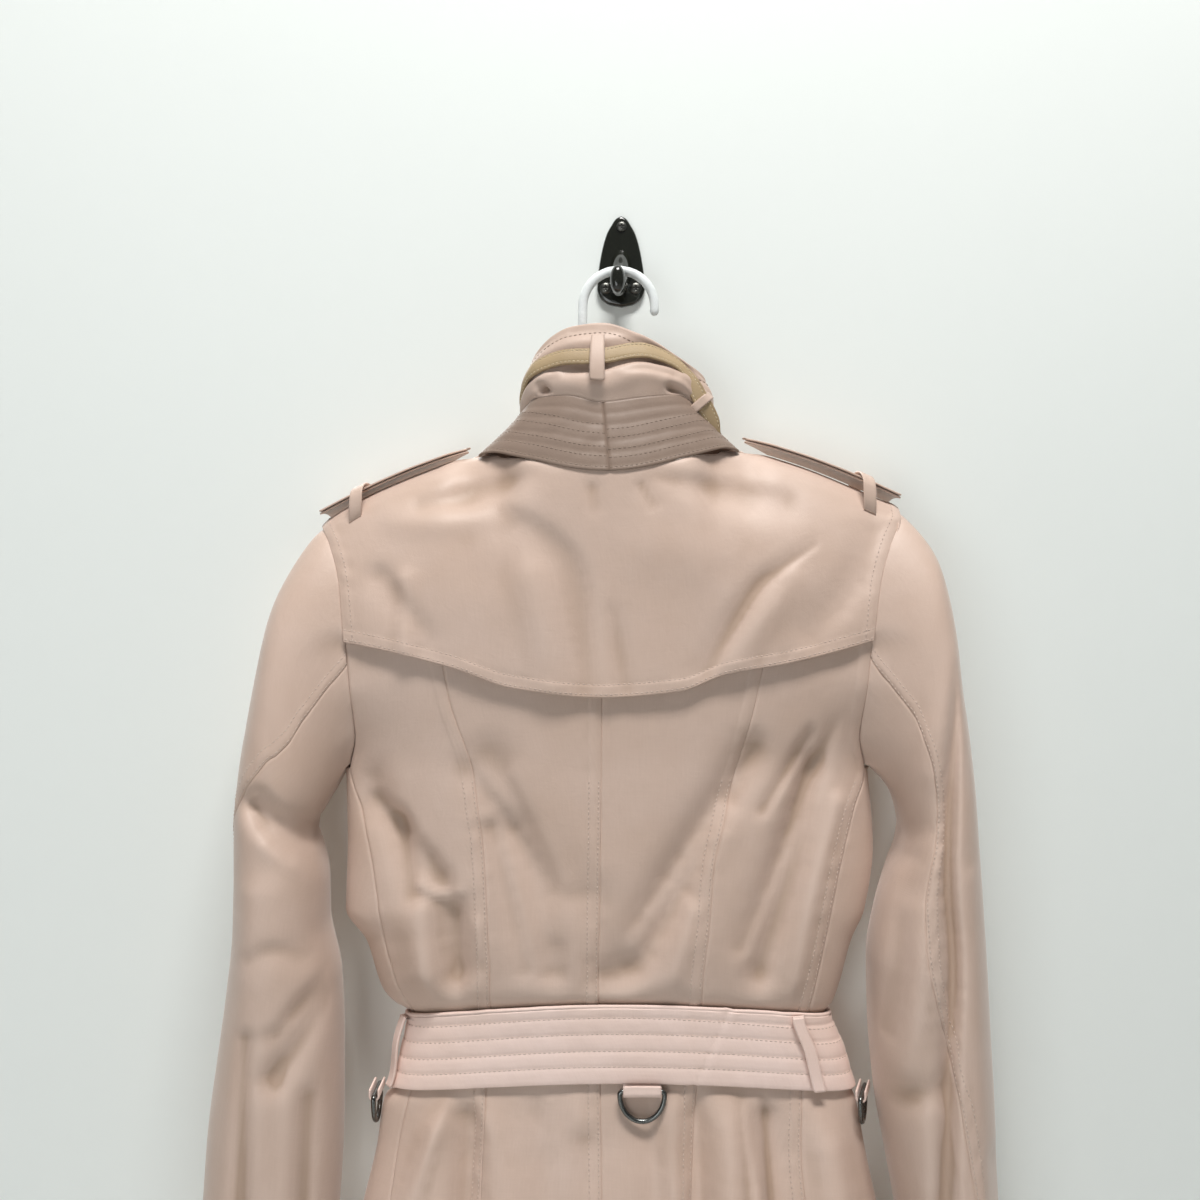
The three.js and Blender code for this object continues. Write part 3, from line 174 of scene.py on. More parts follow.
# The collar's roll seam and its outer edge, by degrees round the neck from the centre back.
COLLAR = Table("turn seamX seamY seamZ edgeX edgeY edgeZ", [
    [-150, -40, -12, -150, -30, -13, -122], [-120, -61, -19, -134, -51, -19, -99],
    [-90, -68, -40, -118, -62, -38, -82], [-60, -59, -60, -106, -54, -52, -69],
    [-30, -38, -70, -105, -34, -60, -58], [0, -13, -73, -110, -13, -62, -56],
    [30, 11, -71, -107, 11, -61, -63], [60, 38, -62, -104, 37, -54, -77],
    [90, 57, -42, -122, 57, -41, -92], [120, 52, -20, -138, 48, -20, -107],
    [150, 33, -12, -153, 28, -13, -125],
])
STRAP_HEIGHT = Table("turn height", [[-100, 0.3], [-60, 0.5], [0, 0.57], [35, 0.76], [60, 0.8], [80, 0.62]])
STRAP_END = Table("part x y z wide", [
    [0, 45.5, -60, -92, 10.5], [0.25, 50.5, -59.5, -102.5, 10.5], [0.5, 55.5, -58, -111, 10.5],
    [0.8, 61.5, -55, -121, 9], [1, 66, -52, -130, 1.6],
])

# Folds: soft ridges (positive) and troughs (negative) along straight lines.
BACK_FOLDS = [
    [72, -575, 74, -1000, 12, 26, 4, 9], [98, -580, 118, -1000, 8, 18, -4, -11],
    [136, -600, 168, -1000, 14, 30, 4, 10], [-120, -590, -150, -1000, 14, 28, 4, 11],
    [-106, -580, -108, -1000, 8, 18, -4, -10], [-60, -600, -68, -1000, 18, 32, 3, 9],
    [-26, -600, -30, -1000, 9, 16, -3, -9], [10, -620, 14, -1000, 14, 30, 2, 9],
    [-88, -344, -30, -430, 15, 15, -4, -4], [-73, -395, -50, -485, 14, 12, -4, -4],
    [86, -344, -4, -494, 16, 14, -5, -5], [62, -392, 10, -470, 10, 10, 3, 3],
    [126, -350, 92, -480, 14, 12, -4, -4], [-166, -360, -112, -480, 12, 12, -4, -4],
    [-140, -400, -134, -480, 10, 12, 3, 4],
]
FRONT_FOLDS = [
    [-110, -600, -140, -1000, 10, 22, -3, -8], [-30, -620, -40, -1000, 12, 26, 1, 4],
    [100, -600, 120, -1000, 10, 22, -3, -8], [90, -350, 20, -480, 16, 14, -3, -3],
    [-100, -350, -30, -480, 16, 14, -3, -3],
]
# Finer bent folds: a lean that steepens one side, then points of x z wide depth.
BACK_CREASES = [
    (0.3, [[-166, -372, 9, -2.4], [-141, -395, 11, -3.4], [-112, -436, 13, -3], [-100, -480, 12, -1.6]]),
    (0, [[-150, -384, 7, -2.2], [-141, -430, 8, -1.6]]),
    (-0.3, [[-134, -425, 4.5, 1.7], [-122, -433, 5, 2.2], [-109, -430, 5, 1.3]]),
    (0.2, [[-131, -440, 7, 2], [-126, -503, 7, 2.4]]),
    (0.2, [[-112, -446, 7, -1.8], [-110, -505, 7, -2]]),
    (0.1, [[-97, -452, 6, 1.4], [-97, -505, 7, 1.8]]),
    (0.3, [[-104, -352, 9, -1.4], [-78, -388, 10, -2.8], [-50, -432, 12, -1.6]]),
    (0.3, [[-88, -392, 8, -2.2], [-76, -440, 9, -2.8], [-66, -482, 9, -1.4]]),
    (-0.3, [[-70, -356, 9, 1.2], [-48, -398, 10, 1.8], [-36, -424, 10, 1]]),
    (0.35, [[86, -338, 10, -2], [58, -392, 12, -4], [26, -452, 13, -4.4], [-4, -503, 12, -1.6]]),
    (-0.3, [[66, -382, 9, 2], [38, -428, 10, 2.8], [10, -466, 10, 1.6]]),
    (0.2, [[44, -446, 9, 1.6], [30, -500, 10, 2.2]]),
    (0.35, [[141, -322, 7, -2], [112, -388, 8, -2.8], [78, -466, 8, -1.6]]),
    (0.3, [[124, -330, 5, -2.4], [93, -378, 5, -1.4]]),
    (0.3, [[128, -352, 8, -2], [112, -420, 9, -3], [90, -494, 9, -2.2]]),
    (-0.3, [[142, -372, 7, 1.8], [124, -430, 8, 2.6], [112, -498, 7, 1.8]]),
    (0, [[49, -566, 7, -2.9], [52, -700, 12, -5.3], [66, -1000, 20, -7.1]]),
    (0.2, [[-44, -470, 9, -1.2], [-40, -506, 10, -2]]),
    (0.2, [[44, -396, 18, -0.6], [34, -434, 22, -3], [22, -470, 18, -1.6]]),
    (-0.2, [[-66, -392, 15, -0.6], [-54, -430, 18, -2.2], [-42, -466, 16, -1.2]]),
    (0, [[68, -578, 16, 1.2], [74, -606, 20, 5.2], [76, -660, 24, 5.4], [76, -820, 28, 2.4]]),
    (0, [[-14, -440, 14, -1.4], [-15, -505, 16, -2.2]]),
    (0.3, [[-118, -572, 7, 1.8], [-131, -606, 10, 3.6], [-152, -660, 14, 3], [-176, -800, 20, 2]]),
    (0.2, [[-98, -574, 7, -1.6], [-101, -612, 9, -2.6], [-112, -700, 14, -2]]),
    (-0.2, [[-92, -572, 9, 1.8], [-82, -602, 12, 2.8], [-78, -700, 18, 2]]),
    (0.2, [[-58, -566, 8, -1.4], [-50, -640, 14, -2.6], [-48, -820, 22, -2]]),
    (0, [[-30, -566, 7, 1.2], [-24, -700, 14, 2.2], [-22, -980, 22, 3]]),
    (0.3, [[16, -570, 8, -1.2], [22, -640, 12, -2.6], [20, -840, 20, -2.4]]),
    (0.3, [[73, -560, 6, -2.8], [86, -580, 9, -2.6], [80, -640, 9, -1.6]]),
    (-0.2, [[82, -574, 5, 1.8], [88, -640, 6, 2.4], [96, -760, 9, 1.6]]),
    (0.2, [[95, -570, 4.5, -1.8], [98, -650, 6, -2.4], [106, -800, 10, -1.8]]),
    (-0.2, [[128, -572, 12, 2], [139, -610, 18, 3.4], [150, -700, 20, 2.6]]),
    (0.2, [[34, -572, 7, 1.6], [33, -650, 9, 2.4], [30, -860, 14, 2.8]]),
]
FLAP_CREASES = [
    (0.3, [[-133, -178, 9, -1.2], [-106, -172, 11, -3], [-80, -164, 10, -2.4], [-62, -158, 7, -0.8]]),
    (0.3, [[22, -160, 6, -0.6], [46, -164, 8, -1.8], [74, -169, 11, -3], [108, -176, 12, -2]]),
    (-0.2, [[-150, -188, 12, 1], [-112, -188, 14, 1.8], [-78, -182, 12, 0.8]]),
    (0.3, [[-80, -184, 10, -1.2], [-54, -199, 13, -2.6], [-33, -220, 13, -3.2], [-27, -262, 12, -2.2],
           [-22, -298, 9, -0.8]]),
    (-0.3, [[-60, -226, 15, 1.2], [-50, -262, 16, 1.6], [-48, -296, 14, 0.8]]),
    (0.1, [[-6, -250, 7, -0.6], [-2, -276, 8, -1.3], [2, -298, 7, -0.7]]),
    (0.2, [[-160, -226, 9, -2], [-146, -244, 11, -2.4], [-128, -266, 10, -1]]),
    (-0.2, [[-143, -228, 8, 1.2], [-142, -258, 8, 1.8], [-143, -282, 7, 0.8]]),
    (0.5, [[126, -205, 4, -0.5], [104, -220, 4.5, -1.3], [90, -230, 5, -2.8], [74, -254, 6.5, -2.4],
           [54, -288, 7, -1]]),
    (-0.3, [[112, -228, 10, 1], [92, -252, 10, 1.9], [74, -280, 9, 1]]),
    (0.2, [[166, -196, 10, -1.2], [152, -232, 12, -2.4], [124, -262, 12, -1.2]]),
    (0, [[20, -206, 22, 1.2], [52, -212, 24, 1.4]]),
    (0, [[-20, -168, 5, -0.9], [-18, -180, 6, -0.5]]),
    (0, [[12, -166, 4, -0.9], [20, -178, 5, -0.6]]),
]
SLEEVE_CREASES = {
    "left": [
        (0.3, [[-231, -366, 8, -1.6], [-214, -388, 11, -4.4], [-196, -402, 10, -4.2], [-184, -408, 8, -2]]),
        (-0.3, [[-226, -396, 9, 2], [-206, -412, 10, 3], [-190, -424, 9, 1.8]]),
        (0.2, [[-237, -376, 4, -1.4], [-228, -392, 5, -1.8], [-215, -406, 4, -0.8]]),
        (0.2, [[-222, -518, 6, -1.2], [-206, -500, 8, -3.2], [-192, -484, 8, -2]]),
        (0, [[-238, -430, 10, 1.4], [-243, -520, 12, 2.2], [-246, -640, 12, 1.6]]),
        (0.2, [[-222, -520, 8, -1.4], [-226, -600, 10, -2.2], [-234, -760, 12, -1.6]]),
        (0.2, [[-238, -470, 7, -1], [-224, -462, 8, -1.6], [-206, -470, 8, -1]]),
        (0, [[-228, -250, 14, -1], [-212, -292, 14, -1.8], [-202, -330, 12, -1]]),
        (0, [[-206, -236, 12, 0.8], [-202, -262, 12, 1.2]]),
    ],
    "right": [
        (0.35, [[214, -286, 4, -1], [213, -316, 5, -4], [209, -380, 5, -5], [207, -424, 5, -5],
                [211, -470, 5.5, -5.4], [209, -520, 6, -5.4], [207, -570, 6.5, -5.8], [203, -790, 8, -6.4]]),
        (0.4, [[184, -304, 6, -1.4], [172, -318, 8, -3], [160, -336, 7, -1.6]]),
        (-0.3, [[196, -322, 9, 1.6], [180, -340, 11, 2.8], [172, -366, 10, 1.6]]),
        (0.3, [[196, -390, 6, -1.2], [182, -404, 7, -3], [172, -410, 6, -1.6]]),
        (-0.3, [[186, -440, 8, 1.8], [190, -486, 10, 2.8], [180, -540, 9, 1.8]]),
        (0.2, [[200, -552, 9, -1], [184, -560, 10, -2], [168, -566, 9, -1]]),
        (0, [[222, -420, 8, 1.2], [226, -520, 9, 1.8], [230, -700, 10, 1.4]]),
        (0.2, [[200, -570, 8, 1.2], [196, -640, 10, 1.8], [200, -760, 12, 1.4]]),
        (0, [[198, -230, 12, -1], [204, -262, 12, -1.4], [204, -296, 10, -0.8]]),
    ],
}
FRONT_CREASES = [
    (0.2, [[-150, -372, 10, -2], [-112, -430, 12, -2.8], [-70, -490, 11, -1.6]]),
    (-0.2, [[-128, -380, 10, 1.4], [-92, -440, 11, 2.2], [-60, -498, 9, 1.2]]),
    (0.2, [[134, -372, 10, -2], [104, -430, 12, -2.8], [66, -490, 11, -1.6]]),
    (-0.2, [[108, -390, 10, 1.6], [84, -444, 11, 2.2], [52, -500, 9, 1.2]]),
    (0.1, [[-116, -574, 8, 1.8], [-128, -660, 14, 3], [-150, -860, 20, 3.4]]),
    (0.1, [[-92, -574, 8, -1.8], [-96, -660, 12, -2.8], [-104, -860, 18, -2.4]]),
    (0.1, [[-20, -574, 8, -1], [-18, -660, 12, -2], [-14, -860, 18, -2.4]]),
    (0.1, [[88, -574, 8, 1.6], [96, -680, 14, 2.8], [112, -880, 20, 3.2]]),
    (0.1, [[118, -574, 8, -1.8], [124, -660, 12, -2.8], [140, -860, 18, -2.4]]),
    (0.1, [[-100, -230, 12, -1.4], [-96, -290, 14, -2.4], [-92, -340, 12, -1]]),
    (0.1, [[76, -230, 12, -1.4], [82, -290, 14, -2.2], [80, -340, 12, -1]]),
]
SLEEVE_FOLDS = {
    "left": [
        [-240, -520, -250, -790, 6, 8, -3, -10], [-203, -560, -214, -790, 6, 8, -3, -10],
        [-238, -372, -200, -412, 8, 8, -7, -6], [-222, -545, -192, -500, 9, 8, -6, -4],
        [-226, -430, -226, -640, 14, 14, 3, 5],
    ],
    "right": [
        [186, -410, 170, -520, 7, 7, -5, -4], [240, -600, 248, -790, 7, 8, -3, -8],
        [192, -352, 196, -300, 9, 9, 3, 3],
    ],
}
SLEEVE_FRONT_FOLDS = {
    "left": [
        [-236, -420, -250, -790, 10, 12, -4, -8], [-205, -420, -222, -790, 10, 12, 3, 5],
    ],
    "right": [
        [212, -420, 222, -790, 10, 12, -4, -8], [190, -480, 196, -790, 10, 12, 3, 4],
    ],
}

# -------- small maths


def lerp(a, b, t):
    return a + (b - a) * t


def smooth(value, low, high):
    t = np.clip((value - low) / (high - low), 0, 1)
    return t * t * (3 - 2 * t)


def bell(value, wide, power=2):
    """1 at 0, and less and less on both sides over a width; a higher power has a flatter top."""
    return np.exp(-((value / wide) ** power))


def crossed(first, second):
    """Two grids over two ranges: one changes along the rows, the other along the columns."""
    return np.meshgrid(first, second, indexing="ij")


def spot(x, y, z):
    return np.stack(np.broadcast_arrays(x, y, z), axis=-1).astype(float)


def unit(vectors):
    length = np.linalg.norm(vectors, axis=-1, keepdims=True)
    return vectors / np.where(length < 1e-12, 1, length)


def relief(folds, x, z):
    """The sum of ridges and troughs, each a straight line x1 z1 x2 z2 wide1 wide2 depth1 depth2."""
    total = np.zeros(np.broadcast(x, z).shape)
    for x1, z1, x2, z2, wide1, wide2, depth1, depth2 in folds:
        dx, dz = x2 - x1, z2 - z1
        t = np.clip(((x - x1) * dx + (z - z1) * dz) / (dx * dx + dz * dz), 0, 1)
        away = np.hypot(x - x1 - t * dx, z - z1 - t * dz) / lerp(wide1, wide2, t)
        total += lerp(depth1, depth2, t) * np.exp(-away * away)
    return total


def rounded(points):
    """A bent line with its corners cut twice."""
    points = np.array(points, float)
    for _ in range(2):
        low, high = lerp(points[:-1], points[1:], 0.25), lerp(points[:-1], points[1:], 0.75)
        points = np.concatenate([points[:1], np.stack([low, high], 1).reshape(-1, 4), points[-1:]])
    return points


def creases(lines, x, z):
    """Bent ridges and troughs: each a list of x z wide depth, with a lean that steepens one side."""
    total = np.zeros(np.broadcast(x, z).shape)
    for lean, points in lines:
        points = rounded(points)
        rise, weights = np.zeros(total.shape), np.zeros(total.shape)
        for (x1, z1, wide1, depth1), (x2, z2, wide2, depth2) in zip(points, points[1:]):
            dx, dz = x2 - x1, z2 - z1
            t = np.clip(((x - x1) * dx + (z - z1) * dz) / (dx * dx + dz * dz), 0, 1)
            away = np.hypot(x - x1 - t * dx, z - z1 - t * dz)
            side = ((x - x1) * dz - (z - z1) * dx) / math.hypot(dx, dz)
            wide = lerp(wide1, wide2, t)
            wide = wide * (1 + lean * np.tanh(side / wide))
            weight = (away + 1) ** -5.0
            rise += weight * lerp(depth1, depth2, t) * bell(away, wide)
            weights += weight
        total += rise / weights
    return total


def ripple(x, z, size_x, size_z, seed):
    """Smooth uneven waves from -1 to 1, size_x by size_z apart."""
    lattice = np.random.default_rng(seed).uniform(-1, 1, (64, 64))
    gx, gz = np.asarray(x) / size_x + 1000, np.asarray(z) / size_z + 1000
    ix, iz = np.floor(gx).astype(int), np.floor(gz).astype(int)
    tx, tz = gx - ix, gz - iz
    tx, tz = tx * tx * (3 - 2 * tx), tz * tz * (3 - 2 * tz)
    corner = lambda a, b: lattice[(ix + a) % 64, (iz + b) % 64]
    low = lerp(corner(0, 0), corner(1, 0), tx)
    high = lerp(corner(0, 1), corner(1, 1), tx)
    return lerp(low, high, tz)


def normals_of(grid):
    """Unit normals of a grid of points, by differences along its rows and columns."""
    return unit(np.cross(np.gradient(grid, axis=0), np.gradient(grid, axis=1)))


def softened(grid, times):
    """A grid averaged with its neighbours, again and again, with its ends carried on straight."""
    for _ in range(times):
        for axis in (0, 1):
            ends = [(1, 1) if k == axis else (0, 0) for k in range(grid.ndim)]
            wide = np.pad(grid, ends, mode="reflect", reflect_type="odd")
            low, high = (wide.take(range(k, k + grid.shape[axis]), axis=axis) for k in (0, 2))
            grid = (low + 2 * grid + high) / 4
    return grid


def hollows(grid, normals):
    """How far each point lies under its surroundings, in millimetres, whatever the broad curve."""
    near = softened(grid, 14)
    far = softened(near, 28)
    return ((near - grid - 0.5 * (far - near)) * normals).sum(-1)


def reach_along(grid, axis):
    """Length along a grid from its first row or column."""
    step = np.linalg.norm(np.diff(grid, axis=axis), axis=-1)
    start = np.zeros([1 if k == axis else n for k, n in enumerate(grid.shape[:2])])
    return np.concatenate([start, np.cumsum(step, axis=axis)], axis=axis)


# -------- the torso's surface

CLOTH = 1.6
HEM_Z = -1000
UNDERARM_Z = -352
ROUNDNESS = 2.6
NECK_X, NECK_Y, NECK_WIDE = -9, -35, 82
NECK_BACK, NECK_FRONT = 43, 21
NECK_BACK_Z, NECK_FRONT_Z = -156, -200
NECK_LIFT, NECK_TILT = 18.5, 1.5
SHOULDER_GAP = 0.4
BELT_Z, BELT_WIDE, BELT_THICK, BELT_STAND, BELT_SAG = -534, 54, 2.6, 2.2, 11.5
LAP_SHIFT, LAP_CLEAR, LAP_RAMP = 3.5, 8, 34
FRONT_EDGE_LEFT, FRONT_EDGE_RIGHT = 52, -74


def flatten(value):
    """Bends a sine or cosine so that it draws a flatter oval than a circle."""
    return np.sign(value) * np.abs(value) ** (2 / ROUNDNESS)


def near_belt(z):
    """1 at the belt's height and 0 far above and below it."""
    return 1 - smooth(np.abs(z - BELT_Z), 60, 240)


# How many times deeper the bent folds are than in their tables.
BODY_DEPTH, FLAP_DEPTH, SLEEVE_DEPTH = 1.7, 1.8, 1.6


def off_belt(z):
    """0 under the belt, where folds are pressed flat, and 1 clear of it."""
    return smooth(np.abs(z - BELT_Z), 27, 50)


RELIEF = {"back": (BACK_FOLDS, BACK_CREASES), "front": (FRONT_FOLDS, FRONT_CREASES)}


def body_relief(face, x, z):
    """How far the folds of the back or the front raise its cloth."""
    folds, lines = RELIEF[face]
    free = off_belt(z)
    return relief(folds, x, z) * lerp(0.2, 1, free) + BODY_DEPTH * creases(lines, x, z) * free


def ring_point(turn, z):
    """A point of the torso: turn 0 is the centre back, 1 and -1 the sides, 2 the centre front."""
    left, right, back, front, side = (BODY.read(n, z) for n in ("left", "right", "back", "front", "side"))
    middle, half = (left + right) / 2, (right - left) / 2
    across = flatten(np.sin(np.radians(90 * turn)))
    out = flatten(np.cos(np.radians(90 * turn)))
    reach = np.where(out > 0, side - back, front - side)
    x = middle + half * across
    y = side - reach * out
    facing = smooth(np.abs(out), 0.05, 0.5)
    drop = np.where(out > 0, body_relief("back", x, z), body_relief("front", x, z)) * facing
    away = unit(spot(across / half, -out / reach, 0 * x))
    sunk = z - BELT_SAG * across * across * near_belt(z)
    return spot(x, y, sunk) + away * drop[..., None]


def turn_at(x, z):
    """The turn round the torso at which its surface has an x, on the back."""
    left, right = BODY.read("left", z), BODY.read("right", z)
    part = np.clip((x - (left + right) / 2) / ((right - left) / 2), -1, 1)
    return np.sign(part) * np.arcsin(np.abs(part) ** (ROUNDNESS / 2)) / (math.pi / 2)


def neck_part(x):
    return np.clip((x - NECK_X) / NECK_WIDE, -1, 1)


def top_z(x, face):
    """Height of the top seam over x: the shoulder outside the neck, the neckline inside it."""
    part = neck_part(x)
    if face == "back":
        inside = NECK_BACK_Z + NECK_LIFT * part * part + NECK_TILT * part
    else:
        side = NECK_BACK_Z + NECK_LIFT + NECK_TILT * part
        inside = lerp(side, NECK_FRONT_Z, 1 - part * part)
    return np.where(np.abs(x - NECK_X) < NECK_WIDE, inside, SHOULDER.read("z", x))


def top_y(x, face):
    if face == "back":
        return NECK_Y - SHOULDER_GAP - NECK_BACK * np.sqrt(1 - neck_part(x) ** 2)
    return NECK_Y + SHOULDER_GAP + NECK_FRONT * np.sqrt(1 - neck_part(x) ** 4)


def yoke_point(x, w, z, face):
    """A point above the underarm: x, and the share w of the way from the underarm to the top seam."""
    left, right, back, front, side = (
        BODY.read(n, UNDERARM_Z) for n in ("left", "right", "back", "front", "side"))
    part = np.clip(np.abs((x - (left + right) / 2) / ((right - left) / 2)), 0, 1)
    reach = (back if face == "back" else front) - side
    ring_y = side + reach * (1 - part ** ROUNDNESS) ** (1 / ROUNDNESS)
    flat_y = back - 2 + 5 * part * part if face == "back" else front
    body_y = lerp(ring_y, flat_y, smooth(w, 0, 0.35))
    roll_start = 0.5 if face == "back" else 0.75
    over = np.maximum(0, (w - roll_start) / (1 - roll_start))
    roll = 1 - np.sqrt(np.maximum(0, 1 - over * over))
    fade = (1 - smooth(w, 0, 0.3)) * smooth(1 - part, 0.02, 0.2)
    drop = body_relief(face, x, z) * fade
    y = lerp(body_y, top_y(x, face), roll) + (-drop if face == "back" else drop)
    return spot(x, y, z)


class Line:
    """A seam line: its x at a height, and its x where it meets the top seam."""

    def __init__(self, at, top):
        self.at, self.top = at, top


LINES = {
    "centre": Line(lambda z: SEAMS.read("centre", z), -13.4),
    "shape_left": Line(lambda z: SEAMS.read("shapeLeft", z), -130),
    "shape_right": Line(lambda z: SEAMS.read("shapeRight", z), 108),
    "arm_left": Line(lambda z: np.where(z > UNDERARM_Z, ARMHOLE.read("left", z),
                                        SEAMS.read("sideLeft", z)), -205.5),
    "arm_right": Line(lambda z: np.where(z > UNDERARM_Z, ARMHOLE.read("right", z),
                                         SEAMS.read("sideRight", z)), 187),
    "front_left": Line(lambda z: FRONT_EDGE_LEFT + 0 * z, FRONT_EDGE_LEFT),
    "front_right": Line(lambda z: FRONT_EDGE_RIGHT + 0 * z, FRONT_EDGE_RIGHT),
}
SPLIT = 0.7


def torso(start, end, face, u, v):
    """A torso panel between two seam lines, from hem to top. v is below SPLIT under the underarm."""
    start, end = LINES[start], LINES[end]
    top_x = lerp(start.top, end.top, u)
    low_z = lerp(HEM_Z, UNDERARM_Z, np.minimum(v / SPLIT, 1))
    low_x = lerp(start.at(low_z), end.at(low_z), u)
    turn = turn_at(low_x, low_z)
    low = ring_point(turn if face == "back" else 2 - turn, low_z)
    w = np.maximum(0, (v - SPLIT) / (1 - SPLIT))
    high_z = lerp(UNDERARM_Z, top_z(top_x, face), w)
    high_x = lerp(start.at(high_z), end.at(high_z), u)
    high = yoke_point(high_x, w, high_z, face)
    return np.where((v <= SPLIT)[..., None], low, high)


# -------- sheets, threads and bars

EDGE_BULGE, LEAST_AREA, THREAD_WIDE = 0.35, 0.31, 0.6
MATERIALS = {}


class Sheet:
    """A grid of points on a cloth's outer face, with its normals and its lengths both ways."""

    def __init__(self, points, side=1):
        self.side = side
        self.place(points)

    def place(self, points):
        self.points = points
        self.normals = normals_of(points) * self.side
        self.across = reach_along(points, 0)
        self.down = reach_along(points, 1)

    def lift(self, amount):
        self.place(self.points + self.normals * amount[..., None])

    def from_edge(self, edge):
        """Distance of every point from an edge: u0 or u1 for the sides, v0 or v1 for the ends."""
        axis = 0 if edge[0] == "u" else 1
        lengths = (self.across, self.down)[axis]
        return lengths if edge[1] == "0" else lengths.take([-1], axis=axis) - lengths

    def line(self, edge, distance, start=0.0, end=1.0):
        """Points and normals of the line at a distance from an edge."""
        away = self.from_edge(edge)
        points, normals = self.points, self.normals
        if edge[0] == "v":
            away, points, normals = away.T, points.transpose(1, 0, 2), normals.transpose(1, 0, 2)
        if edge[1] == "1":
            away, points, normals = away[::-1], points[::-1], normals[::-1]
        count = away.shape[1]
        chosen = range(int(start * (count - 1)), int(end * (count - 1)) + 1)
        pick = lambda grid: np.array([[np.interp(distance, away[:, j], grid[:, j, k]) for k in range(3)]
                                      for j in chosen])
        return pick(points), unit(pick(normals))


def mesh_object(name, vertices, faces, finish, slot, body=ROOT, stands_for=None):
    """A piece from vertices in millimetres: it rides on a body, and stands for a node where one is named."""
    mesh = bpy.data.meshes.new(name)
    mesh.from_pydata((np.asarray(vertices) * MM).tolist(), [], faces)
    mesh.validate()
    mesh.shade_smooth()
    mesh.materials.append(MATERIALS[finish])
    piece = bpy.data.objects.new(name, mesh)
    bpy.context.scene.collection.objects.link(piece)
    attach(piece, body)
    if stands_for:
        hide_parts(stands_for)
    return piece


def grid_faces(columns, rows, offset=0, flip=False):
    index = np.arange(columns * rows).reshape(columns, rows) + offset
    quads = np.stack([index[:-1, :-1], index[1:, :-1], index[1:, 1:], index[:-1, 1:]], axis=-1)
    quads = quads.reshape(-1, 4)
    return (quads[:, ::-1] if flip else quads).tolist()


def cloth_piece(name, sheet, thickness, finish="coat_cloth", slot=None):
    """A closed thin shell under a sheet, with rounded edges, its lay in metres and its edge distance."""
    columns, rows = sheet.points.shape[:2]
    outer, inner = sheet.points, sheet.points - sheet.normals * thickness
    count = columns * rows
    index = np.arange(count).reshape(columns, rows)
    border = np.concatenate([index[:, 0], index[-1, 1:], index[-2::-1, -1], index[0, -2:0:-1]])
    inside = np.concatenate([index[:, 1], index[-2, 1:], index[-2::-1, -2], index[1, -2:0:-1]])
    flat_outer, flat_inner = outer.reshape(-1, 3), inner.reshape(-1, 3)
    middle = (flat_outer[border] + flat_inner[border]) / 2
    middle += unit(flat_outer[border] - flat_outer[inside]) * thickness * EDGE_BULGE
    vertices = np.concatenate([flat_outer, flat_inner, middle])
    flip = sheet.side < 0
    faces = grid_faces(columns, rows, 0, flip) + grid_faces(columns, rows, count, not flip)
    rim = np.arange(len(border)) + 2 * count
    turn = lambda ring: np.roll(ring, -1)
    for a, b in ((border, rim), (rim, border + count)):
        quads = np.stack([turn(a), a, b, turn(b)], axis=-1)
        faces += (quads[:, ::-1] if flip else quads).tolist()
    piece = mesh_object(f"{name}_cloth", vertices, faces, finish, slot or finish, stands_for=name)
    lay = np.stack([sheet.across, sheet.down], axis=-1).reshape(-1, 2)
    lay = np.concatenate([lay, lay, lay[border]]) * MM
    edge = np.minimum.reduce([sheet.from_edge(e) for e in ("u0", "u1", "v0", "v1")]).reshape(-1)
    edge = np.concatenate([edge, edge, 0 * edge[border]])
    uv = piece.data.uv_layers.new(name="lay")
    loops = np.empty(len(piece.data.loops), dtype=np.int32)
    piece.data.loops.foreach_get("vertex_index", loops)
    uv.data.foreach_set("uv", lay[loops].astype(np.float32).ravel())
    # Depth of each point in its folds: the finish paints shade deep in folds and a highlight on ridges from
    # it.
    deep = hollows(sheet.points, sheet.normals).reshape(-1)
    deep = np.concatenate([deep, 0 * deep, deep[border]])
    for label, values in (("edge", edge), ("painted_fold_shading", deep)):
        attribute = piece.data.attributes.new(label, "FLOAT", "POINT")
        attribute.data.foreach_set("value", values.astype(np.float32))


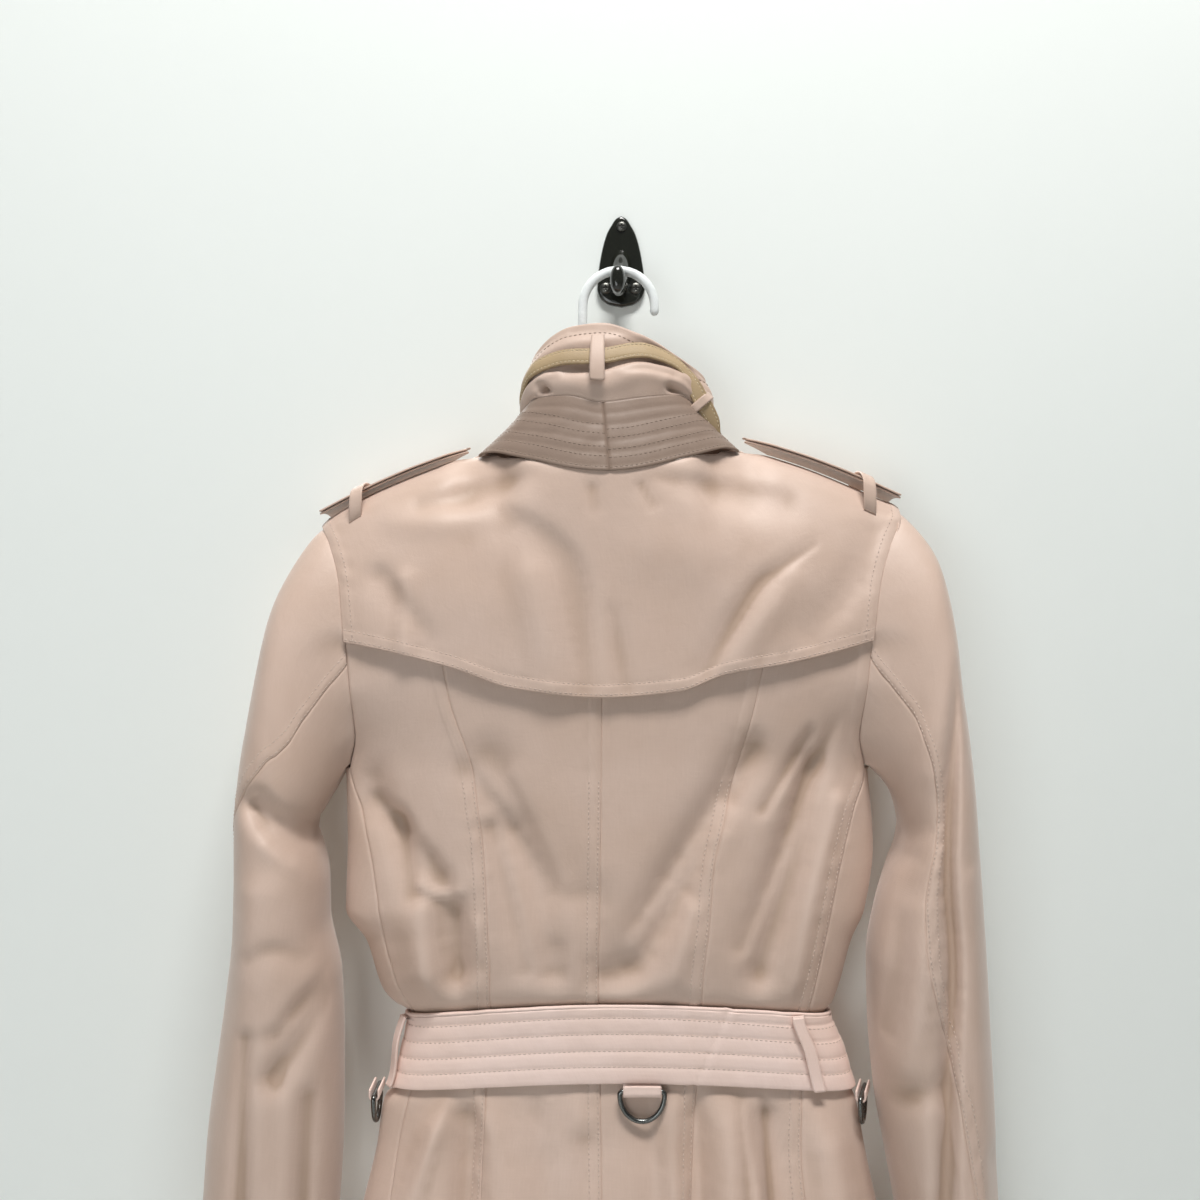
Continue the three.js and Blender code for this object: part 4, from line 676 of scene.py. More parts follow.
def threads(name, rows, finish="coat_thread", slot="coat_cloth", pitch=3.3, share=0.66, high=0.45):
    """Short rounded stitches along lines of points and normals, joined in one piece."""
    random = np.random.default_rng(1)
    vertices, faces, count = [], [], 0
    for points, normals in rows:
        run = np.concatenate([[0], np.cumsum(np.linalg.norm(np.diff(points, axis=0), axis=1))])
        number = max(1, int(run[-1] / pitch))
        at = (np.arange(number) + 0.5) * run[-1] / number
        pick = lambda values, where: np.stack([np.interp(where, run, values[:, k]) for k in range(3)], -1)
        half = share * pitch / 2 * random.uniform(0.9, 1.06, number)[:, None]
        middle, up = pick(points, at), unit(pick(normals, at))
        ahead = unit(pick(points, np.minimum(at + 0.5, run[-1])) - pick(points, np.maximum(at - 0.5, 0)))
        aside = np.cross(ahead, up)
        ahead = unit(ahead + aside * random.uniform(-0.05, 0.05, number)[:, None])
        middle = middle + up * high * 0.25
        rings = []
        for end in (-0.62, 0.62):
            for side, top in ((0.5, 0), (0, 0.5), (-0.5, 0), (0, -0.5)):
                rings.append(middle + ahead * half * end + aside * side * THREAD_WIDE + up * top * high)
        tips = [middle - ahead * half - up * high * 0.35, middle + ahead * half - up * high * 0.35]
        block = np.stack(rings + tips, axis=1).reshape(-1, 3)
        vertices.append(block)
        pattern = [(k, (k + 1) % 4, 4 + (k + 1) % 4, 4 + k) for k in range(4)]
        pattern += [((k + 1) % 4, k, 8) for k in range(4)] + [(4 + k, 4 + (k + 1) % 4, 9) for k in range(4)]
        for n in range(number):
            base = count + 10 * n
            faces += [tuple(base + k for k in face) for face in pattern]
        count += 10 * number
    mesh_object(name, np.concatenate(vertices), faces, finish, slot)


def hoop_faces(count, sides, closed=False):
    """Faces over a row of rings of points: joined end to end if closed, otherwise with a cap at each end."""
    faces = []
    for i in range(count if closed else count - 1):
        for k in range(sides):
            a, b = i * sides + k, i * sides + (k + 1) % sides
            c, d = ((i + 1) % count) * sides + k, ((i + 1) % count) * sides + (k + 1) % sides
            faces.append((a, b, d, c))
    if not closed:
        faces += [tuple(range(sides))[::-1], tuple(range((count - 1) * sides, count * sides))]
    return faces


def tube(points, radius, sides, closed=False, plane=(0, 1, 0)):
    """Vertices and faces of a round bar along points; radius may be one value for each point."""
    points = np.asarray(points, float)
    count = len(points)
    if closed:
        ahead = unit(np.roll(points, -1, 0) - np.roll(points, 1, 0))
    else:
        ahead = unit(np.gradient(points, axis=0))
    aside = unit(np.cross(ahead, np.asarray(plane, float)))
    up = np.cross(aside, ahead)
    angle = np.linspace(0, 2 * math.pi, sides, endpoint=False)
    radius = np.broadcast_to(radius, count)[:, None, None]
    ring = np.cos(angle)[None, :, None] * aside[:, None] + np.sin(angle)[None, :, None] * up[:, None]
    vertices = (points[:, None] + ring * radius).reshape(-1, 3)
    return vertices, hoop_faces(count, sides, closed)


def merged(parts):
    vertices, faces, offset = [], [], 0
    for points, some in parts:
        vertices.append(np.asarray(points))
        faces += [tuple(offset + k for k in face) for face in some]
        offset += len(points)
    return np.concatenate(vertices), faces


# -------- materials


def feed(tree, made, inputs):
    """Links a node's inputs to sockets, or sets them to values."""
    for key, value in inputs.items():
        if isinstance(value, bpy.types.NodeSocket):
            tree.links.new(value, made.inputs[key])
        else:
            made.inputs[key].default_value = value


def node(tree, kind, inputs=None, **settings):
    """Adds a shader node, sets its settings, and sets or links its inputs."""
    made = tree.nodes.new(kind)
    for key, value in settings.items():
        setattr(made, key, value)
    feed(tree, made, inputs or {})
    return made


def maths(tree, operation, a, b=0.0, clamp=False):
    return node(tree, "ShaderNodeMath", {0: a, 1: b}, operation=operation, use_clamp=clamp).outputs[0]


def blended(tree, factor, a, b):
    inputs = {"Factor": factor, 6: a, 7: b}
    return node(tree, "ShaderNodeMix", inputs, data_type="RGBA", blend_type="MIX").outputs[2]


def ranged(tree, value, low, high, to_low=0.0, to_high=1.0):
    inputs = {"Value": value, "From Min": low, "From Max": high, "To Min": to_low, "To Max": to_high}
    return node(tree, "ShaderNodeMapRange", inputs).outputs[0]


def noise(tree, place, scale, detail, roughness=0.5, distortion=0.0):
    inputs = {"Vector": place, "Scale": scale, "Detail": detail, "Roughness": roughness,
              "Distortion": distortion}
    return node(tree, "ShaderNodeTexNoise", inputs).outputs[0]


def bumped(tree, height, strength, distance):
    """A bumped normal; the distance is in metres."""
    return node(tree, "ShaderNodeBump", {"Strength": strength, "Distance": distance,
                                         "Height": height}).outputs[0]


def tint(colour, r, g, b):
    """A colour with its channels scaled."""
    return colour[0] * r, colour[1] * g, colour[2] * b, 1


def object_place(tree):
    return node(tree, "ShaderNodeTexCoord").outputs["Object"]


def piece_value(tree, name):
    """A value stored on the points of a piece: edge or hollow, both in millimetres."""
    return node(tree, "ShaderNodeAttribute", attribute_name=name).outputs["Fac"]


def effect(name, inputs, outputs):
    """A new node group with named sockets; returns the tree and its two end nodes."""
    tree = bpy.data.node_groups.new(name, "ShaderNodeTree")
    for label, kind, default in inputs:
        socket = tree.interface.new_socket(name=label, in_out="INPUT", socket_type=kind)
        if default is not None:
            socket.default_value = default
    for label, kind in outputs:
        tree.interface.new_socket(name=label, in_out="OUTPUT", socket_type=kind)
    return tree, tree.nodes.new("NodeGroupInput"), tree.nodes.new("NodeGroupOutput")


def gabardine_group():
    """Steep diagonal ribs of a twill, with uneven yarns. Lay is in metres."""
    tree, given, made = effect(
        "gabardine_weave",
        [("Lay", "NodeSocketVector", None), ("Ribs", "NodeSocketFloat", 1500.0)],
        [("Height", "NodeSocketFloat"), ("Yarn", "NodeSocketFloat")])
    parts = node(tree, "ShaderNodeSeparateXYZ", {0: given.outputs["Lay"]})
    steep = maths(tree, "ADD", parts.outputs["X"], maths(tree, "MULTIPLY", parts.outputs["Y"], 0.45))
    turns = maths(tree, "MULTIPLY", maths(tree, "MULTIPLY", steep, given.outputs["Ribs"]), 2 * math.pi)
    rib = maths(tree, "SINE", turns)
    stretched = [node(tree, "ShaderNodeMapping", {"Vector": given.outputs["Lay"], "Scale": scale}).outputs[0]
                 for scale in ((900, 60, 1), (70, 800, 1))]
    warp, weft = (noise(tree, place, 1.0, 2.0) for place in stretched)
    yarn = maths(tree, "ADD", maths(tree, "MULTIPLY", warp, 0.6), maths(tree, "MULTIPLY", weft, 0.4))
    height = maths(tree, "ADD", maths(tree, "MULTIPLY", rib, 0.3), yarn)
    feed(tree, made, {"Height": height, "Yarn": yarn})
    return tree


def mottle_group():
    """Large soft patches, from handling and washing."""
    tree, given, made = effect(
        "soft_mottle",
        [("Place", "NodeSocketVector", None), ("Size", "NodeSocketFloat", 12.0)],
        [("Patches", "NodeSocketFloat"), ("Creasing", "NodeSocketFloat")])
    place = given.outputs["Place"]
    feed(tree, made, {"Patches": noise(tree, place, given.outputs["Size"], 4.0, 0.6),
                      "Creasing": noise(tree, place, 90.0, 5.0, 0.65, 0.6)})
    return tree


def wear_group():
    """A mask near the edges of a piece, broken up unevenly. Edge is in millimetres."""
    tree, given, made = effect(
        "edge_wear",
        [("Edge", "NodeSocketFloat", 10.0), ("Place", "NodeSocketVector", None),
         ("Reach", "NodeSocketFloat", 3.0)],
        [("Mask", "NodeSocketFloat")])
    near = ranged(tree, given.outputs["Edge"], 0.0, given.outputs["Reach"], 1.0, 0.0)
    broken = ranged(tree, noise(tree, given.outputs["Place"], 220.0, 4.0), 0.35, 0.65)
    feed(tree, made, {"Mask": maths(tree, "MULTIPLY", near, broken, clamp=True)})
    return tree


def skin_group():
    """Fine uneven skin of moulded, painted or polished hard pieces."""
    tree, given, made = effect(
        "hard_skin",
        [("Place", "NodeSocketVector", None), ("Size", "NodeSocketFloat", 300.0)],
        [("Height", "NodeSocketFloat"), ("Smudge", "NodeSocketFloat")])
    place = given.outputs["Place"]
    feed(tree, made, {"Height": noise(tree, place, given.outputs["Size"], 3.0),
                      "Smudge": noise(tree, place, 60.0, 6.0, 0.7, 1.0)})
    return tree


GROUP_MAKERS = {"gabardine_weave": gabardine_group, "soft_mottle": mottle_group, "edge_wear": wear_group,
                "hard_skin": skin_group}
GROUPS = {}


def grouped(tree, name, inputs):
    if name not in GROUPS:
        GROUPS[name] = GROUP_MAKERS[name]()
    made = tree.nodes.new("ShaderNodeGroup")
    made.node_tree = GROUPS[name]
    feed(tree, made, inputs)
    return made.outputs


def new_material(name):
    material = bpy.data.materials.new(name)
    material.use_nodes = True
    tree = material.node_tree
    tree.nodes.clear()
    shader = tree.nodes.new("ShaderNodeBsdfPrincipled")
    end = tree.nodes.new("ShaderNodeOutputMaterial")
    tree.links.new(shader.outputs[0], end.inputs[0])
    MATERIALS[name] = material
    return tree, shader


def cloth_material(name, colour, roughness=0.5, depth=0.5, ribs=1500.0):
    tree, shader = new_material(name)
    lay = node(tree, "ShaderNodeUVMap", uv_map="lay").outputs[0]
    place = object_place(tree)
    weave = grouped(tree, "gabardine_weave", {"Lay": lay, "Ribs": ribs})
    mottle = grouped(tree, "soft_mottle", {"Place": place})
    wear = grouped(tree, "edge_wear", {"Edge": piece_value(tree, "edge"), "Place": place})
    painted_fold_shading = piece_value(tree, "painted_fold_shading")
    base = blended(tree, ranged(tree, mottle["Patches"], 0.3, 0.7),
                   tint(colour, 0.95, 0.925, 0.9), tint(colour, 1.03, 1.04, 1.06))
    # Yarn tone and the edge mask darken the colour; painted shade darkens and browns it deep in folds, and a
    # painted highlight lightens it on ridges.
    for share, to in (
            (maths(tree, "MULTIPLY", ranged(tree, weave["Yarn"], 0.3, 0.7), 0.22), (0.78, 0.74, 0.7)),
            (maths(tree, "MULTIPLY", wear["Mask"], 0.14), (0.8, 0.74, 0.7)),
            (ranged(tree, painted_fold_shading, 0.1, 1.4, 0.0, 0.66), (0.6, 0.54, 0.46)),
            (ranged(tree, painted_fold_shading, -0.1, -1.4, 0.0, 0.5), (1.13, 1.15, 1.17))):
        base = blended(tree, share, base, tint(colour, *to))
    uneven = maths(tree, "ADD", maths(tree, "MULTIPLY", mottle["Patches"], 0.12), roughness - 0.06)
    height = maths(tree, "ADD", maths(tree, "MULTIPLY", weave["Height"], 0.12),
                   maths(tree, "MULTIPLY", mottle["Creasing"], 0.9))
    feed(tree, shader, {"Base Color": base, "Roughness": uneven, "Sheen Weight": 0.22,
                        "Sheen Roughness": 0.4, "Specular IOR Level": 0.42,
                        "Normal": bumped(tree, height, depth, 0.0006)})


def thread_material(name, colour):
    tree, shader = new_material(name)
    place = object_place(tree)
    mottle = grouped(tree, "soft_mottle", {"Place": place, "Size": 40.0})
    base = blended(tree, mottle["Creasing"], tint(colour, 0.82, 0.8, 0.78), tint(colour, 1.1, 1.1, 1.1))
    twist = node(tree, "ShaderNodeTexWave", {"Vector": place, "Scale": 900.0, "Distortion": 2.0},
                 bands_direction="DIAGONAL")
    feed(tree, shader, {"Base Color": base, "Roughness": 0.55, "Sheen Weight": 0.2,
                        "Normal": bumped(tree, twist.outputs["Fac"], 0.4, 0.0001)})


def leather_material(name, colour):
    tree, shader = new_material(name)
    place = object_place(tree)
    mottle = grouped(tree, "soft_mottle", {"Place": place, "Size": 30.0})
    wear = grouped(tree, "edge_wear", {"Edge": piece_value(tree, "edge"), "Place": place, "Reach": 1.6})
    base = blended(tree, mottle["Patches"], tint(colour, 0.82, 0.8, 0.76), tint(colour, 1.15, 1.14, 1.12))
    base = blended(tree, maths(tree, "MULTIPLY", wear["Mask"], 0.5), base, tint(colour, 0.55, 0.5, 0.45))
    grain = node(tree, "ShaderNodeTexVoronoi", {"Vector": place, "Scale": 1100.0}).outputs["Distance"]
    height = maths(tree, "ADD", maths(tree, "MULTIPLY", grain, 0.5), mottle["Creasing"])
    rough = ranged(tree, mottle["Creasing"], 0.3, 0.7, 0.5, 0.68)
    feed(tree, shader, {"Base Color": base, "Roughness": rough, "Normal": bumped(tree, height, 0.5, 0.0003)})


def hard_material(name, colour, roughness, metallic=0.0, coat=0.0, uneven=0.08, depth=0.1, size=300.0):
    tree, shader = new_material(name)
    skin = grouped(tree, "hard_skin", {"Place": object_place(tree), "Size": size})
    base = blended(tree, ranged(tree, skin["Smudge"], 0.35, 0.65),
                   tint(colour, 0.88, 0.88, 0.88), tint(colour, 1.08, 1.08, 1.08))
    feed(tree, shader, {
        "Base Color": base, "Metallic": metallic, "Coat Weight": coat, "Coat Roughness": 0.06,
        "Roughness": ranged(tree, skin["Smudge"], 0.3, 0.7, roughness, roughness + uneven),
        "Normal": bumped(tree, skin["Height"], depth, 0.0003)})


def make_materials(look):
    """All finishes, from the colours in the panel."""
    # The collar band's colour is a much darker copy of the collar cloth: painted shade for the shade under
    # the collar's leaf.
    for name in ("coat", "collar", "shaded_stand", "belt"):
        cloth_material(f"{name}_cloth", getattr(look, name))
    thread_material("coat_thread", (0.62, 0.5, 0.43))
    thread_material("collar_thread", (0.3, 0.22, 0.17))
    thread_material("strap_thread", (0.66, 0.56, 0.38))
    leather_material("strap_leather", look.strap)
    hard_material("ring_steel", (0.16, 0.165, 0.16), 0.2, metallic=1.0, uneven=0.14)
    hard_material("screw_steel", (0.12, 0.12, 0.11), 0.3, metallic=1.0, uneven=0.15)
    hard_material("hanger_plastic", (0.82, 0.86, 0.86), 0.3, size=500.0)
    hard_material("hook_gloss", (0.012, 0.013, 0.009), 0.12, coat=0.6, depth=0.05)
    hard_material("horn", (0.22, 0.13, 0.08), 0.25, coat=0.2)


# -------- seams

EDGE = [0, 0.5, 1.1, 1.8, 2.8, 4.4, 6.2, 7.3, 8.2, 9.2, 11.5]
STITCH_IN, STITCH_OUT = 1.6, 8.0
# Depths and heights in a seam and in a hem.
SEAM_GROOVE, BAND_RISE, STITCH_DENT, HEM_RISE, HEM_DENT = 0.55, 0.4, 0.3, 0.35, 0.4


def shares(width, step):
    """Shares from 0 to 1 across a piece, close together at its edges, for each of its widths."""
    width = width[None, :]
    low = np.array(EDGE, float)[:, None] / width
    high = 1 - np.array(EDGE[::-1], float)[:, None] / width
    count = max(2, int(round((width.max() - EDGE[-1] - EDGE[-1]) / step)))
    t = np.linspace(0, 1, count + 1)[1:-1, None]
    return np.concatenate([low, lerp(low[-1:], high[:1], t), high])


def puckers(sheet, edge, size, long_size, seed):
    """Uneven waves along an edge."""
    run = sheet.down if edge[0] == "u" else sheet.across
    return ripple(run, 0 * run, size, 50, seed) + 0.5 * ripple(run, 0 * run, long_size, 50, seed + 1)


def seam_lift(sheet, edge, stitched, seed, pucker=0.45):
    """The groove of a seam, and beside it the doubled band between its two rows of stitches."""
    away = sheet.from_edge(edge)
    waves = puckers(sheet, edge, 7.5, 19, seed)
    rise = -SEAM_GROOVE * bell(away, 0.9)
    if not stitched:
        return rise + 0.6 * pucker * waves * bell(away, 7)
    rise = rise + BAND_RISE * (1 - smooth(away, STITCH_OUT - 0.3, STITCH_OUT + 1.3))
    for row in (STITCH_IN, STITCH_OUT):
        rise = rise - STITCH_DENT * bell(away - row, 0.7)
    middle = (STITCH_IN + STITCH_OUT) / 2
    rise = rise + pucker * waves * bell(away - middle, 3.2)
    return rise + 0.5 * pucker * waves * bell(away - STITCH_OUT - 3, 4)


def hem_lift(sheet, edge, row, seed, pucker=0.6):
    """A turned hem: a thicker band as far as its row of stitches, drawn up into small puckers."""
    away = sheet.from_edge(edge)
    waves = puckers(sheet, edge, 8.5, 23, seed)
    rise = HEM_RISE * (1 - smooth(away, row - 0.3, row + 1.2)) - HEM_DENT * bell(away - row, 0.8)
    return rise + pucker * waves * bell(away - row * 0.55, row * 0.6)


# -------- body panels

SKIRT_Z = -662
TORSO_Z = np.concatenate([np.array([0, 1.2, 2.6, 5, 8, 12, 17, 19, 20, 21, 23, 26]) + HEM_Z,
                          np.arange(HEM_Z + 32, SKIRT_Z, 6.0), np.arange(SKIRT_Z, UNDERARM_Z - 1, 3.0),
                          [UNDERARM_Z]])
YOKE_W = np.linspace(0, 1, 40)[1:]
HEM_ROW = 20
BACK_STEP, SIDE_STEP, FRONT_STEP = 3.2, 5, 6.5


def torso_grid(start, end, face, step):
    v = np.concatenate([SPLIT * (TORSO_Z - HEM_Z) / (UNDERARM_Z - HEM_Z), SPLIT + (1 - SPLIT) * YOKE_W])
    probe = np.linspace(0, 1, 9)[:, None] + 0 * v[None, :]
    rough = torso(start, end, face, probe, v[None, :] + 0 * probe)
    width = reach_along(rough, 0)[-1]
    u = shares(width, step)
    return torso(start, end, face, u, v[None, :] + 0 * u)


UNDER_FLAP, UNDER_NECK = 3.4, 5.0
BACK_PANELS = [
    # node, first line, last line, seed; the seam at the last line is top-stitched
    ("back_side_left", "arm_left", "shape_left", 11),
    ("back_centre_left", "shape_left", "centre", 12),
    ("back_centre_right", "centre", "shape_right", 13),
    ("back_side_right", "shape_right", "arm_right", 14),
]


def neck_corners(points, wide):
    """1 near the two ends of the back neckline, over a width."""
    return sum(bell(points[..., 0] - NECK_X - hand * NECK_WIDE, wide, 4) for hand in (-1, 1))


def build_back(thickness):
    rows = []
    for name, start, end, seed in BACK_PANELS:
        sheet = Sheet(torso_grid(start, end, "back", BACK_STEP))
        under = sheet.points[..., 2] - FLAP_EDGE.read("z", sheet.points[..., 0])
        sunk = UNDER_FLAP + UNDER_NECK * neck_corners(sheet.points, 32) * smooth(under, 55, 85)
        sheet.lift(-sunk * smooth(under, 5, 34))
        sheet.lift(seam_lift(sheet, "u0", False, seed) + seam_lift(sheet, "u1", True, seed + 20)
                   + hem_lift(sheet, "v0", HEM_ROW, seed + 40))
        cloth_piece(name, sheet, thickness)
        rows += [sheet.line("u1", row, 0, 0.8) for row in (STITCH_IN, STITCH_OUT)]
        rows.append(sheet.line("v0", HEM_ROW))
    threads("stitches_back", rows)


def side_grid(side):
    line = LINES["arm_left" if side == "left" else "arm_right"]
    sign = -1 if side == "left" else 1
    z = TORSO_Z
    back = np.abs(turn_at(line.at(z), z))
    point = lambda u: ring_point(sign * lerp(back[None, :], 2 - back[None, :], u if sign > 0 else 1 - u),
                                 z[None, :] + 0 * u)
    rough = point(np.linspace(0, 1, 17)[:, None] + 0 * z[None, :])
    return point(shares(reach_along(rough, 0)[-1], SIDE_STEP))


def build_sides(thickness):
    rows = []
    for side, seed in (("left", 31), ("right", 33)):
        sheet = Sheet(side_grid(side))
        sheet.lift(seam_lift(sheet, "u0", False, seed) + seam_lift(sheet, "u1", False, seed + 1)
                   + hem_lift(sheet, "v0", HEM_ROW, seed + 2))
        cloth_piece(f"side_{side}", sheet, thickness)
        rows.append(sheet.line("v0", HEM_ROW))
    threads("stitches_sides", rows)


def build_fronts(thickness):
    rows = []
    left = Sheet(torso_grid("arm_left", "front_left", "front", FRONT_STEP), -1)
    right_points = torso_grid("front_right", "arm_right", "front", FRONT_STEP)
    lap = 1 - smooth(right_points[..., 0], FRONT_EDGE_LEFT + LAP_CLEAR, FRONT_EDGE_LEFT + LAP_RAMP)
    right_points[..., 1] += LAP_SHIFT * lap
    right = Sheet(right_points, -1)
    for name, sheet, edge, seed in (("front_left", left, "u1", 41), ("front_right", right, "u0", 43)):
        other = "u0" if edge == "u1" else "u1"
        sheet.lift(seam_lift(sheet, edge, True, seed) + seam_lift(sheet, other, False, seed + 1)
                   + hem_lift(sheet, "v0", HEM_ROW, seed + 2))
        cloth_piece(name, sheet, thickness)
        rows += [sheet.line(edge, row) for row in (STITCH_IN, STITCH_OUT)] + [sheet.line("v0", HEM_ROW)]
    threads("stitches_fronts", rows)


# -------- storm flap

FLAP_STAND, FLAP_LIFT, FLAP_NECK_RISE, FLAP_DEEPEST = 3.8, 1.8, 1.6, 4.8
FLAP_LOW_Z, FLAP_LONG, FLAP_ROW, FLAP_EDGE_ROW, FLAP_SIDE_ROW = -290, 165, 8, 1.6, 6.5
FLAP_LINES = ("arm_left", "shape_left", "centre", "shape_right", "arm_right")


def flap_point(u, v):
    """The flap's surface: u counts its seam lines from the left, v is 0 at its edge."""
    result = np.zeros(u.shape + (3,))
    for span in range(4):
        here = (np.clip(np.floor(u), 0, 3) == span)
        start, end, k = LINES[FLAP_LINES[span]], LINES[FLAP_LINES[span + 1]], u - span
        top_x = lerp(start.top, end.top, k)
        low_x = lerp(start.at(FLAP_LOW_Z + 0 * u), end.at(FLAP_LOW_Z + 0 * u), k)
        low = FLAP_EDGE.read("z", low_x)
        high = top_z(top_x, "back")
        rise = FLAP_NECK_RISE * (1 - smooth(np.abs(top_x - NECK_X), NECK_WIDE - 40, NECK_WIDE))
        z = lerp(low, high + rise, v)
        x = lerp(start.at(z), end.at(z), k)
        w = (z - UNDERARM_Z) / (high - UNDERARM_Z)
        result[here] = yoke_point(x, w, z, "back")[here]
    return result


def raised(surface, a, b, distance, side=1, e=1e-3):
    """Points of a surface moved out along its normal by a distance."""
    first = surface(a + e, b) - surface(a - e, b)
    second = surface(a, np.minimum(b + e, 1)) - surface(a, np.maximum(b - e, 0))
    return surface(a, b) + unit(np.cross(first, second)) * side * np.asarray(distance)[..., None]


def build_flap(thickness):
    u = np.unique(np.concatenate([np.linspace(0, 4, 133), [0.006, 0.014, 0.024, 3.976, 3.986, 3.994]]))
    v = np.concatenate([np.array([0, 0.4, 1, 2, 3.5, 5.5, 7, 7.7, 8.4, 9.4, 11, 13]) / FLAP_LONG,
                        np.linspace(0.1, 1, 56)])
    u, v = crossed(u, v)
    free = (1 - v) ** 2 * (1 - smooth(np.abs(u - 2), 1.7, 2))
    points = raised(flap_point, u, v, FLAP_STAND + FLAP_LIFT * free)
    sheet = Sheet(points)
    soft = softened(points, 220)
    ease = (neck_corners(points, 22) * smooth(v, 0.25, 0.5) * (1 - 0.3 * smooth(v, 0.96, 1)))[..., None]
    points = lerp(points, soft, np.clip(ease, 0, 1))
    sheet.place(points)
    folds = FLAP_DEPTH * creases(FLAP_CREASES, points[..., 0], points[..., 2]) * (1 - smooth(v, 0.97, 1))
    sheet.lift(np.where(folds < 0, FLAP_DEEPEST * np.tanh(folds / FLAP_DEEPEST), folds))
    sheet.lift(hem_lift(sheet, "v0", FLAP_ROW, 51, 0.5) + seam_lift(sheet, "u0", True, 52)
               + seam_lift(sheet, "u1", True, 53))
    cloth_piece("storm_flap", sheet, thickness)
    threads("stitches_flap", [sheet.line(edge, away) for edge, away in (
        ("v0", FLAP_ROW), ("v0", FLAP_EDGE_ROW), ("u0", FLAP_SIDE_ROW), ("u1", FLAP_SIDE_ROW))])


# -------- sleeves

UNDERARM_FLAT, UNDERARM_BULGE, LAST_ROW = 16, 3, 16
SLEEVE_START, SLEEVE_START_OUT = -0.7, 3.6
FRONT_SLEEVE_SEAM, SLEEVE_STEP, CUFF_ROW = 250, 3.6, 30


def armhole_point(side, angle):
    """The armhole's seam by degrees round it: the shoulder is 0, the underarm 180."""
    line = LINES["arm_left" if side == "left" else "arm_right"]
    sign = -1 if side == "left" else 1
    tip = top_z(np.array(float(line.top)), "back")
    turn = np.mod(angle, 360)
    half = np.minimum(turn, 360 - turn)
    z = lerp(tip, UNDERARM_Z, (1 - np.cos(np.radians(half * 180 / (180 - UNDERARM_FLAT)))) / 2)
    z = np.maximum(z, UNDERARM_Z)
    w = (z - UNDERARM_Z) / (tip - UNDERARM_Z)
    x = line.at(z)
    loop = np.where((turn <= 180)[..., None], yoke_point(x, w, z, "back"), yoke_point(x, w, z, "front"))
    low = np.array(float(UNDERARM_Z))
    start = yoke_point(line.at(low), np.array(0.0), low, "back")
    end = yoke_point(line.at(low), np.array(0.0), low, "front")
    share = (turn - 180 + UNDERARM_FLAT) / (2 * UNDERARM_FLAT)
    under = lerp(start, end, share[..., None])
    under[..., 0] += sign * np.sin(math.pi * np.clip(share, 0, 1)) * UNDERARM_BULGE
    return np.where((half > 180 - UNDERARM_FLAT)[..., None], under, loop)


def sleeve_point(side, row, angle):
    """A sleeve's surface by its table's rows and by degrees round it."""
    rows = SLEEVES[side]
    sign = -1 if side == "left" else 1
    c, s = np.cos(np.radians(angle)), np.sin(np.radians(angle))
    bend = lambda value: np.sign(value) * np.abs(value) ** 0.86
    share = (1 + bend(c)) / 2
    ring = spot(lerp(rows.read("inX", row), rows.read("outX", row), share),
                rows.read("mid", row) - rows.read("half", row) * bend(s),
                lerp(rows.read("inZ", row), rows.read("outZ", row), share))
    facing = smooth(np.abs(s), 0.1, 0.6) * smooth(row, 1.5, 7)
    back = (relief(SLEEVE_FOLDS[side], ring[..., 0], ring[..., 2])
            + SLEEVE_DEPTH * creases(SLEEVE_CREASES[side], ring[..., 0], ring[..., 2]))
    front = relief(SLEEVE_FRONT_FOLDS[side], ring[..., 0], ring[..., 2])
    ring[..., 1] -= np.sign(s) * np.where(s > 0, back, front) * facing
    start = armhole_point(side, angle)
    start[..., 0] += sign * SLEEVE_START
    start[..., 1] -= SLEEVE_START_OUT * smooth(start[..., 2], -274, -262) * smooth(s, 0, 0.3)
    return lerp(start, ring, smooth(row, -0.4, 2.4)[..., None])


def build_sleeves(thickness):
    rows = []
    down = np.concatenate([[0, 0.03, 0.08, 0.15, 0.24, 0.34], np.linspace(0.42, 11.2, 146),
                           np.linspace(11.3, LAST_ROW - 0.12, 44), LAST_ROW - np.array([0.06, 0.03, 0.0])])
    for side, seed in (("left", 61), ("right", 65)):
        sign = -1 if side == "left" else 1
        seam = SLEEVE_SEAM[side].read("angle", down)[None, :]
        for part, first, last in (("upper", FRONT_SLEEVE_SEAM - 360, seam),
                                  ("under", seam, FRONT_SLEEVE_SEAM)):
            angles = lambda u: sleeve_point(side, down[None, :] + 0 * u,
                                            lerp(first + 0 * seam, last + 0 * seam, u))
            rough = angles(np.linspace(0, 1, 33)[:, None] + 0 * seam)
            width = reach_along(rough, 0)[-1]
            sheet = Sheet(angles(shares(width, SLEEVE_STEP)), sign)
            back, front = ("u1", "u0") if part == "upper" else ("u0", "u1")
            sheet.lift(seam_lift(sheet, back, part == "upper", seed)
                       + seam_lift(sheet, front, False, seed + 1)
                       + seam_lift(sheet, "v0", False, seed + 2, 0.3)
                       + hem_lift(sheet, "v1", CUFF_ROW, seed + 3, 0.4))
            cloth_piece(f"sleeve_{side}_{part}", sheet, thickness)
            rows.append(sheet.line("v1", CUFF_ROW))
            if part == "upper":
                rows += [sheet.line("u1", row) for row in (STITCH_IN, STITCH_OUT)]
            seed += 1
    threads("stitches_sleeves", rows)


# -------- collar and neck strap

STAND_LIFT, STAND_TUCK, LEAF_BULGE = 2.6, 4.0, 6
STAND_END, LEAF_END = 150, 128
STAND_ROWS = (0.06, 0.25, 0.42, 0.66, 0.83)
STAND_GROOVE, STAND_GROOVE_WIDE, LEAF_ROW = -0.35, 0.035, 7
